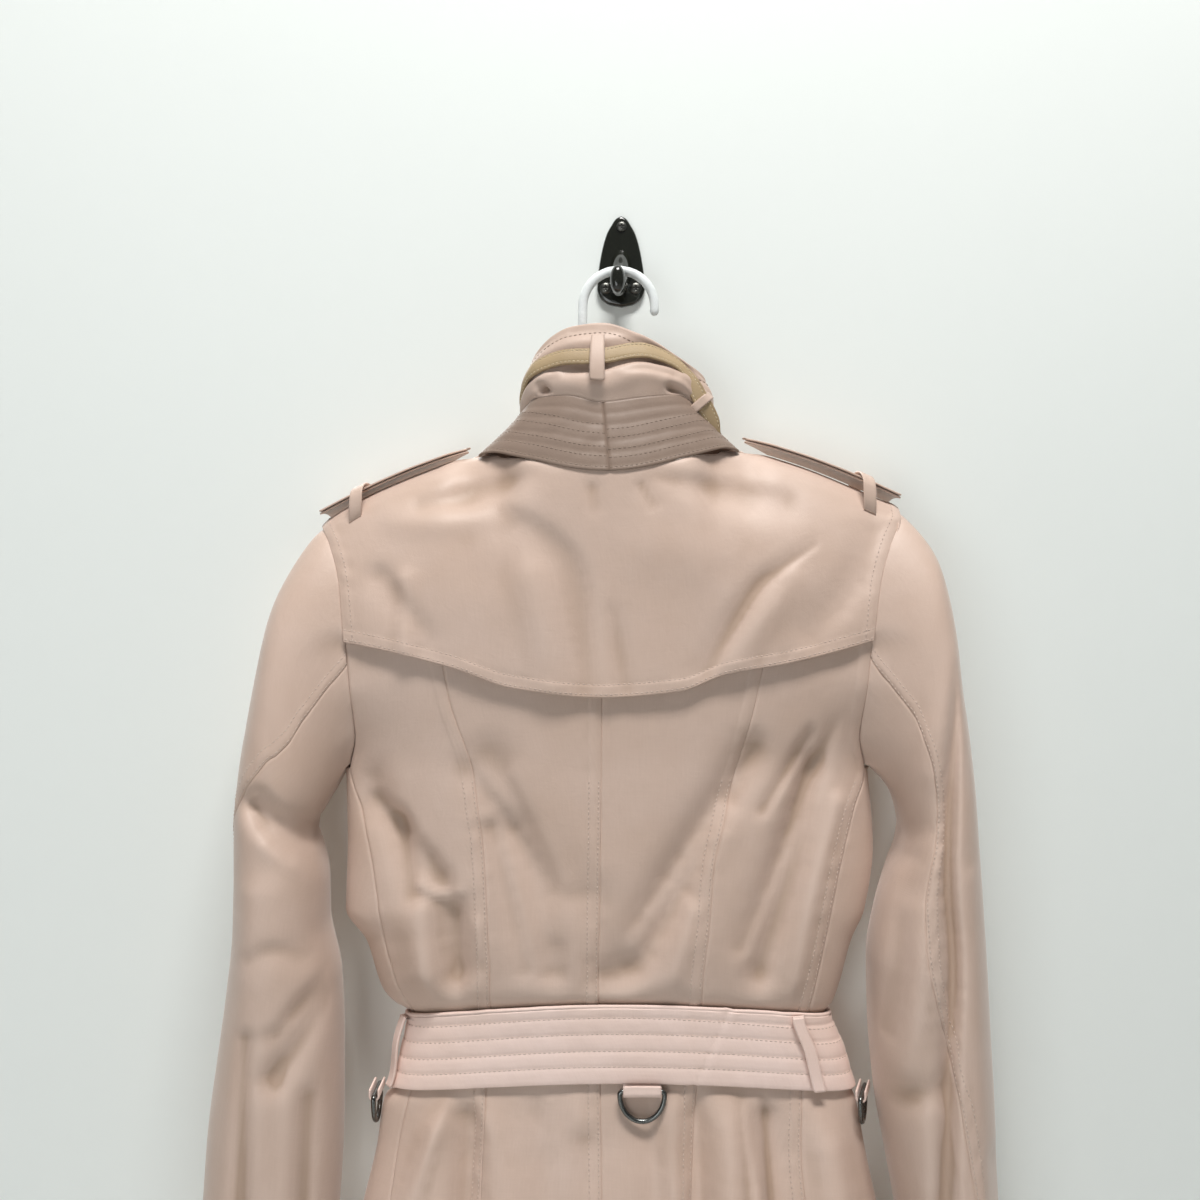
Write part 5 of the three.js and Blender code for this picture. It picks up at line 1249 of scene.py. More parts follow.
# How far the neck strap draws the leaf in, the roll above it, and the small waves.
LEAF_PINCH, LEAF_ROLL, LEAF_WAVES = -4.2, 1.6, 1.0
LEAF_CREASES = [
    (0.3, [[-55, -98, 3, -3], [-52, -102, 3.4, -8], [-48, -106, 3, -3]]),
    (-0.3, [[-58, -106, 3.5, 1.4], [-56, -98, 4, 2.0], [-51, -92, 4, 1.2]]),
    (-0.3, [[32, -100, 3, -3], [37, -104, 3.4, -8], [46, -112, 3.4, -4.5], [55, -122, 3.4, -3]]),
    (0.3, [[30, -94, 4, 1.2], [40, -97, 4, 2.0], [50, -107, 4, 1.6]]),
    (0.2, [[-38, -90, 4, -1.4], [-26, -86, 5, -2.6], [-14, -86, 4, -1.0]]),
    (-0.2, [[4, -88, 4, -1.0], [18, -86, 5, -2.6], [34, -91, 5, -1.8]]),
    (0.0, [[-14, -78, 4, 0.4], [-13, -100, 4, 0.6]]),
]


def outwards(turn):
    return spot(np.sin(np.radians(turn)), -np.cos(np.radians(turn)), 0 * turn)


def neck_seam(turn):
    s, c = np.sin(np.radians(turn)), np.cos(np.radians(turn))
    x = NECK_X + NECK_WIDE * s
    return np.where((c > 0)[..., None], spot(x, top_y(x, "back"), top_z(x, "back")),
                    spot(x, top_y(x, "front"), top_z(x, "front")))


def leaf_seam(turn):
    return spot(*(COLLAR.read(name, turn) for name in ("seamX", "seamY", "seamZ")))


def leaf_edge(turn):
    return spot(*(COLLAR.read(name, turn) for name in ("edgeX", "edgeY", "edgeZ")))


def stand_foot(turn):
    """The stand's lower edge: on the storm flap at the back, on the neck seam in front."""
    front = neck_seam(turn)
    front[..., 2] += STAND_LIFT
    x = front[..., 0]
    tops = [LINES[name].top for name in FLAP_LINES]
    share = np.interp(x, tops, range(len(tops)))
    c = np.clip(np.cos(np.radians(turn)), 0, 1)
    back = raised(flap_point, share, 0.985 + 0 * share, FLAP_STAND + lerp(0.4, CLOTH + 0.3, c * c))
    foot = lerp(back, front, smooth(np.abs(turn), 86, 104)[..., None])
    tuck = STAND_TUCK * bell(np.abs(turn) - 88, 17)
    return foot + unit(foot - leaf_seam(turn)) * tuck[..., None]


def stand_point(turn, v):
    return lerp(stand_foot(turn), leaf_seam(turn), v[..., None])


def leaf_point(turn, v):
    bulge = LEAF_BULGE * np.sin(math.pi * np.minimum(1, v * 1.1))
    return lerp(leaf_seam(turn), leaf_edge(turn), v[..., None]) + outwards(turn) * bulge[..., None]


def build_collar(thickness):
    rows = []
    v = np.linspace(0, 1, 34)
    for side, first, last, seed in (("left", -STAND_END, 0, 71), ("right", 0, STAND_END, 73)):
        turn, height = crossed(np.linspace(first, last, 74), v)
        sheet = Sheet(stand_point(turn, height))
        grooves = sum(STAND_GROOVE * bell(height - row, STAND_GROOVE_WIDE) for row in STAND_ROWS)
        waves = ripple(sheet.across, height * 40, 9, 12, seed)
        sheet.lift(grooves + 0.3 * waves * np.sin(math.pi * height)
                   + seam_lift(sheet, "u1" if side == "left" else "u0", False, seed))
        # The collar band takes the darker copy of the collar cloth: painted shade.
        cloth_piece(f"collar_stand_{side}", sheet, thickness, "shaded_stand_cloth", "collar_cloth")
        rows += [sheet.line("v0", row * float(sheet.down[:, -1].mean())) for row in STAND_ROWS]
    turn, height = crossed(np.linspace(-LEAF_END, LEAF_END, 150), np.linspace(0, 1, 44))
    sheet = Sheet(leaf_point(turn, height))
    strap = STRAP_HEIGHT.read("height", turn)
    pinch = LEAF_PINCH * bell(height - strap, 0.17, 4)
    pinch = pinch * (1 - smooth(turn, 66, 84)) * smooth(turn, -122, -104)
    pinch += LEAF_ROLL * bell(height - strap + 0.36, 0.14) * bell(turn, 60)
    middle = np.sin(math.pi * np.clip(height * 1.15, 0, 1))
    pinch += LEAF_WAVES * ripple(turn * 0.8, height * 40, 17, 16, 77) * middle
    sheet.lift(pinch + hem_lift(sheet, "v1", LEAF_ROW, 75, 0.4))
    at_back = smooth(-sheet.points[..., 1], 44, 54)
    on_leaf = at_back * smooth(height, 0.01, 0.09)
    sheet.lift(creases(LEAF_CREASES, sheet.points[..., 0], sheet.points[..., 2]) * on_leaf)
    cloth_piece("collar_leaf", sheet, thickness, "collar_cloth")
    rows.append(sheet.line("v1", LEAF_ROW))
    threads("stitches_collar", rows, "collar_thread", "collar_cloth")


STRAP_WIDE, STRAP_THICK, STRAP_STAND, STRAP_FROM, STRAP_TO, STRAP_SPLIT = 10.5, 2, 2.8, -100, 62, 0.77
STRAP_SINK_LEFT, STRAP_SINK, LEATHER, STRAP_ROW = 6.4, 3.2, 1.9, 1.5
NARROW = np.linspace(-0.5, 0.5, 9)
KEEPER_LOW, KEEPER_HIGH, KEEPER_WIDE, KEEPER_DIP = (45, -60.5, -115.5), (60, -60.5, -102.5), 5, 6


def strap_point(u, v):
    """The neck strap: round the collar as far as STRAP_SPLIT, then its free end."""
    part = np.clip((u - STRAP_SPLIT) / (1 - STRAP_SPLIT), 0, 1)
    end_at = lambda name: STRAP_END.read(name, part)
    half = (v - 0.5) * end_at("wide")
    end = spot(end_at("x") + 0.75 * half, end_at("y"), end_at("z") + 0.6 * half)
    turn = lerp(STRAP_FROM, STRAP_TO, np.minimum(u / STRAP_SPLIT, 1))
    height = STRAP_HEIGHT.read("height", turn)
    long = np.linalg.norm(leaf_seam(turn) - leaf_edge(turn), axis=-1)
    share = (v - 0.5) * STRAP_WIDE / long
    sink = STRAP_SINK * (1 - smooth(turn, 50, 80))
    sink = sink + (STRAP_SINK_LEFT - STRAP_SINK) * (1 - smooth(turn, -84, -50))
    out = STRAP_STAND + STRAP_THICK - sink
    round_it = leaf_point(turn, height + share) + outwards(turn) * out[..., None]
    return np.where((u > STRAP_SPLIT)[..., None], end, round_it)


def build_strap(thickness):
    u, v = crossed(np.linspace(0, 1, 190), np.linspace(0, 1, 15))
    points = strap_point(u, v)
    bend = smooth(u, STRAP_SPLIT - 0.11, STRAP_SPLIT - 0.03)
    bend = bend * (1 - smooth(u, STRAP_SPLIT + 0.03, STRAP_SPLIT + 0.1))
    sheet = Sheet(lerp(points, softened(points, 60), bend[..., None]))
    groove = -0.3 * (bell(v - 0.14, 0.05) + bell(v - 0.86, 0.05))
    sheet.lift(groove + 0.35 * np.sin(math.pi * v))
    cloth_piece("collar_strap", sheet, LEATHER, "strap_leather")
    threads("stitches_strap", [sheet.line(edge, STRAP_ROW, 0, 0.98) for edge in ("v0", "v1")],
            "strap_thread", "strap_leather", pitch=2.9, share=0.7, high=0.5)
    over = STRAP_THICK + STRAP_STAND + 2 + 1.1 - STRAP_SINK + 0.8
    u, v = crossed(NARROW, np.linspace(0, 1, 40))
    turn = -4 + 9 * u
    loop = Sheet(leaf_point(turn, lerp(0.25, 0.84, v)) + outwards(turn) * over)
    cloth_piece("collar_strap_loop", loop, thickness, "collar_cloth")
    u, v = crossed(NARROW, np.linspace(0, 1, 24))
    low, high = np.array(KEEPER_LOW, float), np.array(KEEPER_HIGH, float)
    across = unit(np.cross(high - low, (0, -1, 0)))
    keeper = lerp(low, high, v[..., None]) + across * (KEEPER_WIDE * u)[..., None]
    keeper[..., 1] += KEEPER_DIP * (2 * v - 1) ** 4
    cloth_piece("collar_strap_keeper", Sheet(keeper), thickness, "collar_cloth")


# -------- epaulettes

EPAULETTES = {
    "left": {"outer": (-205, -30, -179), "tip": (-105, -30, -136), "loop_x": -179},
    "right": {"outer": (189, -30, -168), "tip": (84, -30, -129), "loop_x": 166},
}
EPAULETTE_WIDE, EPAULETTE_NECK, EPAULETTE_TAPER, EPAULETTE_BOW = 42, 38, 0.82, 3
EPAULETTE_THICK, EPAULETTE_PLY, EPAULETTE_STEP, EPAULETTE_ROW = 1.2, 1.6, 1.5, 4
LOOP_WIDE, LOOP_MID_Y, LOOP_HALF_Y, LOOP_FOOT, LOOP_OVER, LOOP_BOX = 8, -32, 28.4, -11, 3.6, 0.3


def epaulette_point(ends, u, v, inset=0):
    """An epaulette's top from its outer end to its pointed tip."""
    outer, tip = np.array(ends["outer"], float), np.array(ends["tip"], float)
    long = np.linalg.norm(tip - outer)
    reach = u * (1 - inset / long)
    middle = lerp(outer, tip, reach[..., None])
    sharp = np.where(reach > EPAULETTE_TAPER, 1 - (reach - EPAULETTE_TAPER) / (1 - EPAULETTE_TAPER), 1)
    full = lerp(EPAULETTE_WIDE, EPAULETTE_NECK, reach) - 2 * inset
    half = np.maximum(1.5, full / 2 * sharp)
    bow = EPAULETTE_BOW * np.sin(math.pi * reach)
    middle[..., 1] += (0.5 - v) * 2 * half
    middle[..., 2] += bow - 0.004 * half * half * (2 * v - 1) ** 2
    return middle


def build_epaulettes():
    rows = []
    u = np.unique(np.concatenate([np.linspace(0, 1, 60), [EPAULETTE_TAPER]]))
    u, v = crossed(u, np.linspace(0, 1, 25))
    for name, ends in EPAULETTES.items():
        sign = -1 if name == "left" else 1
        top = Sheet(epaulette_point(ends, u, v), sign)
        top.lift(hem_lift(top, "v0", EPAULETTE_ROW, 81, 0.2) + hem_lift(top, "v1", EPAULETTE_ROW, 82, 0.2))
        cloth_piece(f"epaulette_{name}", top, EPAULETTE_THICK)
        under_points = epaulette_point(ends, u, v, EPAULETTE_STEP)
        under_points[..., 2] -= EPAULETTE_PLY
        cloth_piece(f"epaulette_{name}_under", Sheet(under_points, sign), EPAULETTE_THICK)
        rows += [top.line(edge, EPAULETTE_ROW) for edge in ("v0", "v1")]
        across, turn = crossed(NARROW, np.linspace(0, math.pi, 60))
        x = ends["loop_x"] + LOOP_WIDE * across
        foot = SHOULDER.read("z", x) + LOOP_FOOT
        reach = (x - ends["outer"][0]) / (ends["tip"][0] - ends["outer"][0])
        crest = epaulette_point(ends, reach, 0.5 + 0 * reach)[..., 2] + LOOP_OVER
        arch = spot(x, LOOP_MID_Y - LOOP_HALF_Y * np.cos(turn), lerp(foot, crest, np.sin(turn) ** LOOP_BOX))
        cloth_piece(f"epaulette_loop_{name}", Sheet(arch), EPAULETTE_THICK)
    threads("stitches_epaulettes", rows)


# -------- belt, loops and rings

BELT_TOP, BELT_LOW = BELT_Z + BELT_WIDE / 2, BELT_Z - BELT_WIDE / 2
BELT_START, BELT_LAP, BELT_LAP_STAND = 1.72, 0.42, 3.2
BELT_ROWS = (0.21, 0.405, 0.615, 0.82)
BELT_LEVELS = [0, 0.015, 0.035, 0.07, 0.11, 0.16, 0.19, 0.21, 0.23, 0.27, 0.32, 0.37, 0.39, 0.405, 0.42,
               0.45, 0.5, 0.56, 0.595, 0.615, 0.635, 0.67, 0.73, 0.78, 0.8, 0.82, 0.84, 0.88, 0.92, 0.95,
               0.975, 0.99, 1.0]
BELT_GROOVE, BELT_GROOVE_WIDE, BELT_EDGE, BELT_EDGE_WIDE, BELT_WAVES = -0.55, 0.022, -0.5, 0.03, 0.22
BELT_LOOP_THICK, BELT_LOOP_STAND = 1.8, 0.9 + 2
BELT_JOIN = [(0.0, [[73, -506, 1.3, -0.7], [60, -534, 1.3, -0.8], [47, -562, 1.3, -0.7]]),
             (0.0, [[77, -506, 2.4, 0.35], [51, -562, 2.4, 0.35]])]


def belt_seat(turn, level):
    """The torso's surface under the belt, from its lower edge at level 0 to its upper at 1."""
    p = ring_point(turn, lerp(BELT_LOW, BELT_TOP, level))
    front = smooth(p[..., 1], -36, -26)
    lapped = smooth(p[..., 0], FRONT_EDGE_RIGHT - LAP_RAMP, FRONT_EDGE_RIGHT) * (
        1 - smooth(p[..., 0], FRONT_EDGE_LEFT + LAP_CLEAR, FRONT_EDGE_LEFT + LAP_RAMP))
    p[..., 1] += LAP_SHIFT * front * lapped
    return p


def belt_at(turn, level):
    """The belt's outer face; its end lies over its start."""
    turn, level = np.asarray(turn, float), np.asarray(level, float)
    lap = 1 - smooth(turn, BELT_START - 4, BELT_START - 3.88)
    return raised(belt_seat, turn, level, BELT_STAND + BELT_THICK + BELT_LAP_STAND * lap)


BELT_LOOPS = [
    # side, turn, width, how far it bows out
    ("left", -0.9, 7, 7),
    ("right", float(turn_at(np.array(123.0), np.array(float(BELT_Z)))), 7.5, 1.5),
]


def build_belt():
    turn, v = crossed(np.linspace(BELT_START, BELT_START - 4 - BELT_LAP, 360), BELT_LEVELS)
    sheet = Sheet(belt_at(turn, v), -1)
    grooves = sum(BELT_GROOVE * bell(v - row, BELT_GROOVE_WIDE) for row in BELT_ROWS)
    edge = BELT_EDGE * (bell(v, BELT_EDGE_WIDE) + bell(1 - v, BELT_EDGE_WIDE))
    waves = ripple(sheet.across, v * BELT_WIDE, 10, 11, 91)
    behind = sheet.points[..., 1] < -50
    join = creases(BELT_JOIN, sheet.points[..., 0], sheet.points[..., 2]) * behind
    sheet.lift(grooves + edge + BELT_WAVES * waves + join)
    cloth_piece("belt", sheet, BELT_THICK - 0.2, "belt_cloth")
    threads("stitches_belt", [sheet.line("v0", row * BELT_WIDE) for row in BELT_ROWS], slot="belt_cloth")
    for side, place, wide, bow in BELT_LOOPS:
        across, level = crossed(NARROW, np.linspace(0, 1, 40))
        seat = belt_at(place + 0 * level, lerp(0.01, 0.99, level))
        ahead = belt_at(place + 0.02, 0.5) - belt_at(place - 0.02, 0.5)
        ahead = unit(np.array([ahead[0], ahead[1], 0]))
        away = np.array([ahead[1], -ahead[0], 0])
        out = BELT_LOOP_STAND + bow * np.sin(math.pi * level) * level
        loop = Sheet(seat + ahead * (wide * across)[..., None] + away * out[..., None])
        cloth_piece(f"belt_loop_{side}", loop, BELT_LOOP_THICK, "belt_cloth")


RING_WIDE, RING_TALL, RING_WIRE, RING_CORNER, RING_DROP = 33, 23, 1.7, 2, 4.5
TAB_WIDE, TAB_BORE, TAB_WALL = 24.4, 2.15, 1.5
RINGS = [
    # side, turn, the way it faces, how far out it hangs
    ("back", float(turn_at(np.array(12.8), np.array(float(BELT_LOW)))), (0, -1, 0), 1.2),
    ("left", -0.94, (-1, 0, 0), 8.8),
    ("right", 0.95, (0.954, -0.3, 0), 4.4),
]


def ring_outline():
    """The D-ring's middle line, from its straight top round its bow."""
    half, deep, r = RING_WIDE / 2 - RING_WIRE, RING_TALL - 2 * RING_WIRE, RING_CORNER
    points = [(x, 0) for x in np.linspace(-half + r, half - r, 14)]
    corner = [(half - r + r * math.sin(a), -r + r * math.cos(a)) for a in np.linspace(0.2, math.pi / 2, 5)]
    points += corner
    points += [(half * math.cos(a), -r - (deep - r) * math.sin(a)) for a in np.linspace(0, math.pi, 40)[1:-1]]
    points += [(-x, z) for x, z in corner[::-1]]
    return points


def build_rings():
    for side, turn, face, out in RINGS:
        face = np.array(face, float)
        centre = belt_at(turn, 0.0) + face * out + np.array([0, 0, -RING_DROP])
        along = np.array([-face[1], face[0], 0])
        path = [centre + along * a + np.array([0, 0, z]) for a, z in ring_outline()]
        vertices, faces = tube(path, RING_WIRE, 18, True, face)
        mesh_object(f"ring_{side}_wire", vertices, faces, "ring_steel", "ring_steel", f"ring_{side}",
                    f"d_ring_{side}")
        outer = TAB_BORE + TAB_WALL
        top = RING_DROP - 0.3
        arc = [(outer * math.cos(a), outer * math.sin(a)) for a in np.linspace(0, -math.pi, 30)]
        first = [(outer, z) for z in np.linspace(top, 0.3, 8)]
        last = [(-outer, z) for z in np.linspace(0.3, top, 8)]
        profile = np.array(first + arc + last)
        places = np.linspace(TAB_WIDE / 2, -TAB_WIDE / 2, 16)
        grid = (centre + profile[:, None, :1] * face + along * places[None, :, None]
                + profile[:, None, 1:] * np.array([0, 0, 1]))
        cloth_piece(f"ring_tab_{side}", Sheet(grid, -1), TAB_WALL - 0.1, "belt_cloth")


# -------- buttons and buckle

BUTTON_X, BUTTON_Z = (-62, 40), (-262, -350, -438, -640)
BUTTON_RADIUS, BUTTON_THICK, BUTTON_GAP = 12.5, 3, 0.4
BUCKLE_X, BUCKLE_WIDE, BUCKLE_TALL, BUCKLE_RIM, BUCKLE_THICK, BUCKLE_GAP = -20, 46, 64, 5, 3.2, 0.5


def turned(profile, sides, dip=None):
    """A solid of revolution about +Y from (radius, y) rows; dip lowers the face at places."""
    angle = np.linspace(0, 2 * math.pi, sides, endpoint=False)
    vertices = []
    for radius, y in profile:
        x, z = radius * np.cos(angle), radius * np.sin(angle)
        drop = dip(x, z) if dip is not None and y > 0 else 0 * x
        vertices.append(np.stack([x, y - drop, z], axis=-1))
    return np.concatenate(vertices), hoop_faces(len(profile), sides)


HOLE_AT, HOLE_DEEP, CROSS_WIRE = 2.1, 1.6, 0.55


def button_holes(x, z):
    """How far the button's face is lowered: four holes."""
    drop = 0 * x
    for sx in (-1, 1):
        for sz in (-1, 1):
            away = np.hypot(x - HOLE_AT * sx, z - HOLE_AT * sz)
            drop = np.maximum(drop, HOLE_DEEP * (1 - smooth(away, 0.7, 1.2)))
    return drop


def build_buttons():
    r, t = BUTTON_RADIUS, BUTTON_THICK
    profile = [(0.1, 0), (r * 0.4, 0), (r * 0.8, 0), (r - 0.5, 0.15), (r, 0.8), (r, t - 1),
               (r - 0.3, t - 0.35), (r - 1, t - 0.05), (r - 1.9, t - 0.05), (r - 2.8, t - 0.5),
               (r - 3.8, t - 0.95)]
    profile += [(radius, t - 1.0 + 0.02 * (r - 4 - radius)) for radius in np.linspace(r - 4.2, 0.1, 26)]
    vertices, faces = turned(profile, 56, button_holes)
    for row, z in enumerate(BUTTON_Z):
        for column, x in (("left", BUTTON_X[0]), ("right", BUTTON_X[1])):
            rim = np.array([x - r, x, x + r], float)
            level = np.full(3, float(z))
            seat = ring_point(2 - turn_at(rim, level), level)[:, 1].max() + LAP_SHIFT + BUTTON_GAP
            name = f"button_{row + 1}_{column}"
            mesh_object(f"{name}_disc", vertices + np.array([x, seat, z]), faces, "horn", "button",
                        stands_for=name)
            cross = []
            h = HOLE_AT
            for a, b in (((-h, -h), (h, h)), ((-h, h), (h, -h))):
                path = [np.array([x + lerp(a[0], b[0], s), seat + t - 1.4 + 0.9 * math.sin(math.pi * s),
                                  z + lerp(a[1], b[1], s)]) for s in np.linspace(0, 1, 12)]
                cross.append(tube(path, CROSS_WIRE, 8))
            mesh_object(f"{name}_thread", *merged(cross), "coat_thread", "coat_cloth")


def rounded_frame(wide, tall, corner, count=10):
    """Points of a rounded rectangle, centred, as (x, z)."""
    points = []
    for cx, cz, start in ((1, 1, 0), (-1, 1, 90), (-1, -1, 180), (1, -1, 270)):
        for a in np.radians(np.linspace(start, start + 90, count)):
            points.append((cx * (wide / 2 - corner) + corner * math.cos(a),
                           cz * (tall / 2 - corner) + corner * math.sin(a)))
    return np.array(points)


def build_buckle():
    seat = belt_at(-2.02, 0.5)
    y = seat[1] + BUCKLE_GAP + BUCKLE_THICK / 2
    rim, thick = BUCKLE_RIM, BUCKLE_THICK
    middle = rounded_frame(BUCKLE_WIDE - rim, BUCKLE_TALL - rim, 6)
    ahead = unit(np.roll(middle, -1, 0) - np.roll(middle, 1, 0))
    aside = np.stack([ahead[:, 1], -ahead[:, 0]], axis=-1)
    angle = np.linspace(0, 2 * math.pi, 20, endpoint=False)
    section = np.stack([flatten(np.cos(angle)) * rim / 2, flatten(np.sin(angle)) * thick / 2], axis=-1)
    vertices = [[m[0] + s[0] * n[0], s[1], m[1] + s[0] * n[1]]
                for m, n in zip(middle, aside) for s in section]
    faces = hoop_faces(len(middle), len(section), True)
    reach = BUCKLE_TALL / 2 - rim * 0.7
    bar = tube([(0, 0, z) for z in np.linspace(-reach, reach, 12)], rim * 0.3, 14)
    vertices, faces = merged([(np.array(vertices), faces), bar])
    mesh_object("buckle_frame", vertices + np.array([BUCKLE_X, y, seat[2]]), faces, "horn", "button",
                stands_for="belt_buckle")


# -------- hanger

HANGER_Y, HANGER_WIRE, HOOK_X, HOOK_Z, HOOK_R = -28, 3.5, -2, -37.3, 25
HANGER_PATH = [
    (-96, -216), (-150, -216), (-182, -214), (-193, -207), (-188, -198), (-150, -180), (-96, -164),
    (-78, -156.5), (-14, -106), (58, -151), (78, -161.5), (130, -173), (170, -189), (175, -197), (166, -206),
    (130, -212), (76, -214),
]
HANGER_SIDES, HANGER_VOXEL = 24, 1.5
HANGER_STEM = [(-27, -37.3), (-27.2, -58), (-26, -76), (-20, -92), (-14, -106)]


def curve_through(points, count):
    """A smooth curve through points, centripetal so that it doesn't loop at close ones."""
    points = np.asarray(points, float)
    ends = np.concatenate([[2 * points[0] - points[1]], points, [2 * points[-1] - points[-2]]])
    result = []
    for i in range(len(points) - 1):
        p = ends[i:i + 4]
        gap = np.maximum(np.linalg.norm(np.diff(p, axis=0), axis=1) ** 0.5, 1e-6)
        t = np.concatenate([[0], np.cumsum(gap)])
        for s in np.linspace(t[1], t[2], count, endpoint=False):
            a = [(t[k + 1] - s) / (t[k + 1] - t[k]) * p[k] + (s - t[k]) / (t[k + 1] - t[k]) * p[k + 1]
                 for k in range(3)]
            b = [(t[k + 2] - s) / (t[k + 2] - t[k]) * a[k] + (s - t[k]) / (t[k + 2] - t[k]) * a[k + 1]
                 for k in range(2)]
            result.append((t[2] - s) / (t[2] - t[1]) * b[0] + (s - t[1]) / (t[2] - t[1]) * b[1])
    result.append(points[-1])
    return np.array(result)


def build_hanger():
    place = lambda rows: np.array([(x, HANGER_Y, z) for x, z in rows])
    hook = [(HOOK_X + HOOK_R * math.cos(a), HOOK_Z + HOOK_R * math.sin(a))
            for a in np.radians(np.linspace(-8, 180, 60))]
    stem = curve_through(HANGER_STEM, 10)[1:]
    crook = place(hook + [tuple(p) for p in stem])
    radius = np.full(len(crook), float(HANGER_WIRE))
    cap = np.linspace(0, 1, 5)[:0:-1] * math.pi / 2 * 0.96
    tip, back = crook[0], unit(crook[0] - crook[1])
    round_end = [tip + back * HANGER_WIRE * math.sin(a) for a in cap]
    crook = np.concatenate([round_end, crook])
    radius = np.concatenate([HANGER_WIRE * np.cos(cap), radius])
    arms = place(curve_through(HANGER_PATH, 10))
    bar = place([(x, lerp(-216, -214, (x + 100) / 180)) for x in np.linspace(-100, 80, 40)])
    parts = [tube(path, wire, HANGER_SIDES) for path, wire in (
        (arms, HANGER_WIRE), (crook, radius), (bar, HANGER_WIRE))]
    hanger = mesh_object("hanger_tube", *merged(parts), "hanger_plastic", "hanger_plastic",
                         stands_for="hanger")
    melt = hanger.modifiers.new("melt", "REMESH")
    melt.mode, melt.voxel_size, melt.use_smooth_shade = "VOXEL", HANGER_VOXEL * MM, True
    ease = hanger.modifiers.new("ease", "SMOOTH")
    ease.factor, ease.iterations = 0.5, 6
    apply_modifiers(hanger)


def apply_modifiers(piece):
    graph = bpy.context.evaluated_depsgraph_get()
    made = bpy.data.meshes.new_from_object(piece.evaluated_get(graph))
    old = piece.data
    piece.modifiers.clear()
    piece.data = made
    bpy.data.meshes.remove(old)
    made.shade_smooth()


# -------- wall hook

PLATE_THICK = 4
PLATE = Table("z half", [
    [-32, 0.5], [-30, 9], [-25, 15], [-19, 17], [-12, 16.7], [-3, 15.6], [10, 13.2], [20.6, 10], [26, 7],
    [31, 3.6], [32.7, 0.5],
])
ARM = Table("y x z wide tall", [
    [-49, -3, -22, 2.4, 4.5],
    [-47.4, -3, -22, 4.2, 7.8],
    [-44, -3, -22, 5.2, 9.5],
    [-38, -3, -22, 5.2, 9.4],
    [-33.5, -2.6, -23, 5, 7],
    [-28, -2.2, -23.3, 5, 6.6],
    [-22, -1.6, -20.4, 5.4, 7.2],
    [-15, -1, -14, 6, 9],
    [-8, -0.4, -8.5, 7, 12.5],
    [-2, 0, -5.5, 8, 15.5],
])
SCREWS = [
    ("screw_top", 0.3, 25, 3.6),
    ("screw_left", -11, -19, 4.1),
    ("screw_right", 10.5, -19, 4.1),
]
SCREW_DOME = 1.5


def plate_part():
    """The plate: its outline drawn in and raised in steps to a rounded rim."""
    z = np.concatenate([[-32, -31.8, -31.3, -30.6], np.linspace(-30, 31, 60), [31.8, 32.4, 32.7]])
    half = PLATE.read("half", z)
    outline = np.concatenate([np.stack([half, z], -1), np.stack([-half, z], -1)[::-1]])
    centre = np.array([0, -3.0])
    rings = [(0, 1.0), (-2.4, 1.0), (-3.1, 0.985), (-3.6, 0.955), (-3.9, 0.915), (-4, 0.87)]
    vertices, count = [], len(outline)
    for y, share in rings:
        ring = centre + (outline - centre) * share
        vertices.append(np.stack([ring[:, 0], np.full(count, float(y)), ring[:, 1]], -1))
    return np.concatenate(vertices), hoop_faces(len(rings), count)


def arm_part():
    y = np.concatenate([np.linspace(-49, -44, 16), np.linspace(-43.5, -2, 60)])
    x, z, wide, tall = (ARM.read(name, y) for name in ("x", "z", "wide", "tall"))
    tip = np.clip((y + 49.3) / 5, 0, 1)
    tip = np.sqrt(tip * (2 - tip))
    wide, tall = np.where(y < -44, 5.2 * tip, wide), np.where(y < -44, 9.5 * tip, tall)
    angle = np.linspace(0, 2 * math.pi, 40, endpoint=False)
    vertices = np.stack([x[:, None] + wide[:, None] * np.cos(angle), y[:, None] + 0 * angle,
                         z[:, None] + tall[:, None] * np.sin(angle)], -1).reshape(-1, 3)
    return vertices, hoop_faces(len(y), len(angle))


def cross_slot(x, z):
    """How far the screw's face is lowered: a cross."""
    bar = lambda a, b: (1 - smooth(np.abs(a), 0.35, 0.6)) * (1 - smooth(np.abs(b), 1.5, 2.0))
    return np.maximum(bar(x, z), bar(z, x))


def build_hook():
    hook = mesh_object("hook_body", *merged([plate_part(), arm_part()]), "hook_gloss", "hook_gloss",
                       stands_for="wall_hook")
    hook.modifiers.new("normals", "WEIGHTED_NORMAL").keep_sharp = True
    apply_modifiers(hook)
    for name, x, z, radius in SCREWS:
        profile = [(0.05, 0.0), (radius * 0.6, 0.0), (radius, 0.001)]
        profile += [(radius * math.cos(a), 0.02 + SCREW_DOME * math.sin(a))
                    for a in np.linspace(0.1, 1.54, 28)]
        vertices, faces = turned(profile, 64, cross_slot)
        vertices = vertices * np.array([1, -1, 1]) + np.array([x, -PLATE_THICK - 0.3, z])
        faces = [tuple(face[::-1]) for face in faces]
        mesh_object(f"{name}_head", vertices, faces, "screw_steel", "screw_steel", stands_for=name)


# -------- stage, light and camera

CAMERA = (-0.015, -0.95, -0.241)
LENS, SENSOR = 39.84, 36.0
FLOOR_Z, WALL_Y, WALL_TOP = -1.42, 0.0006, 3


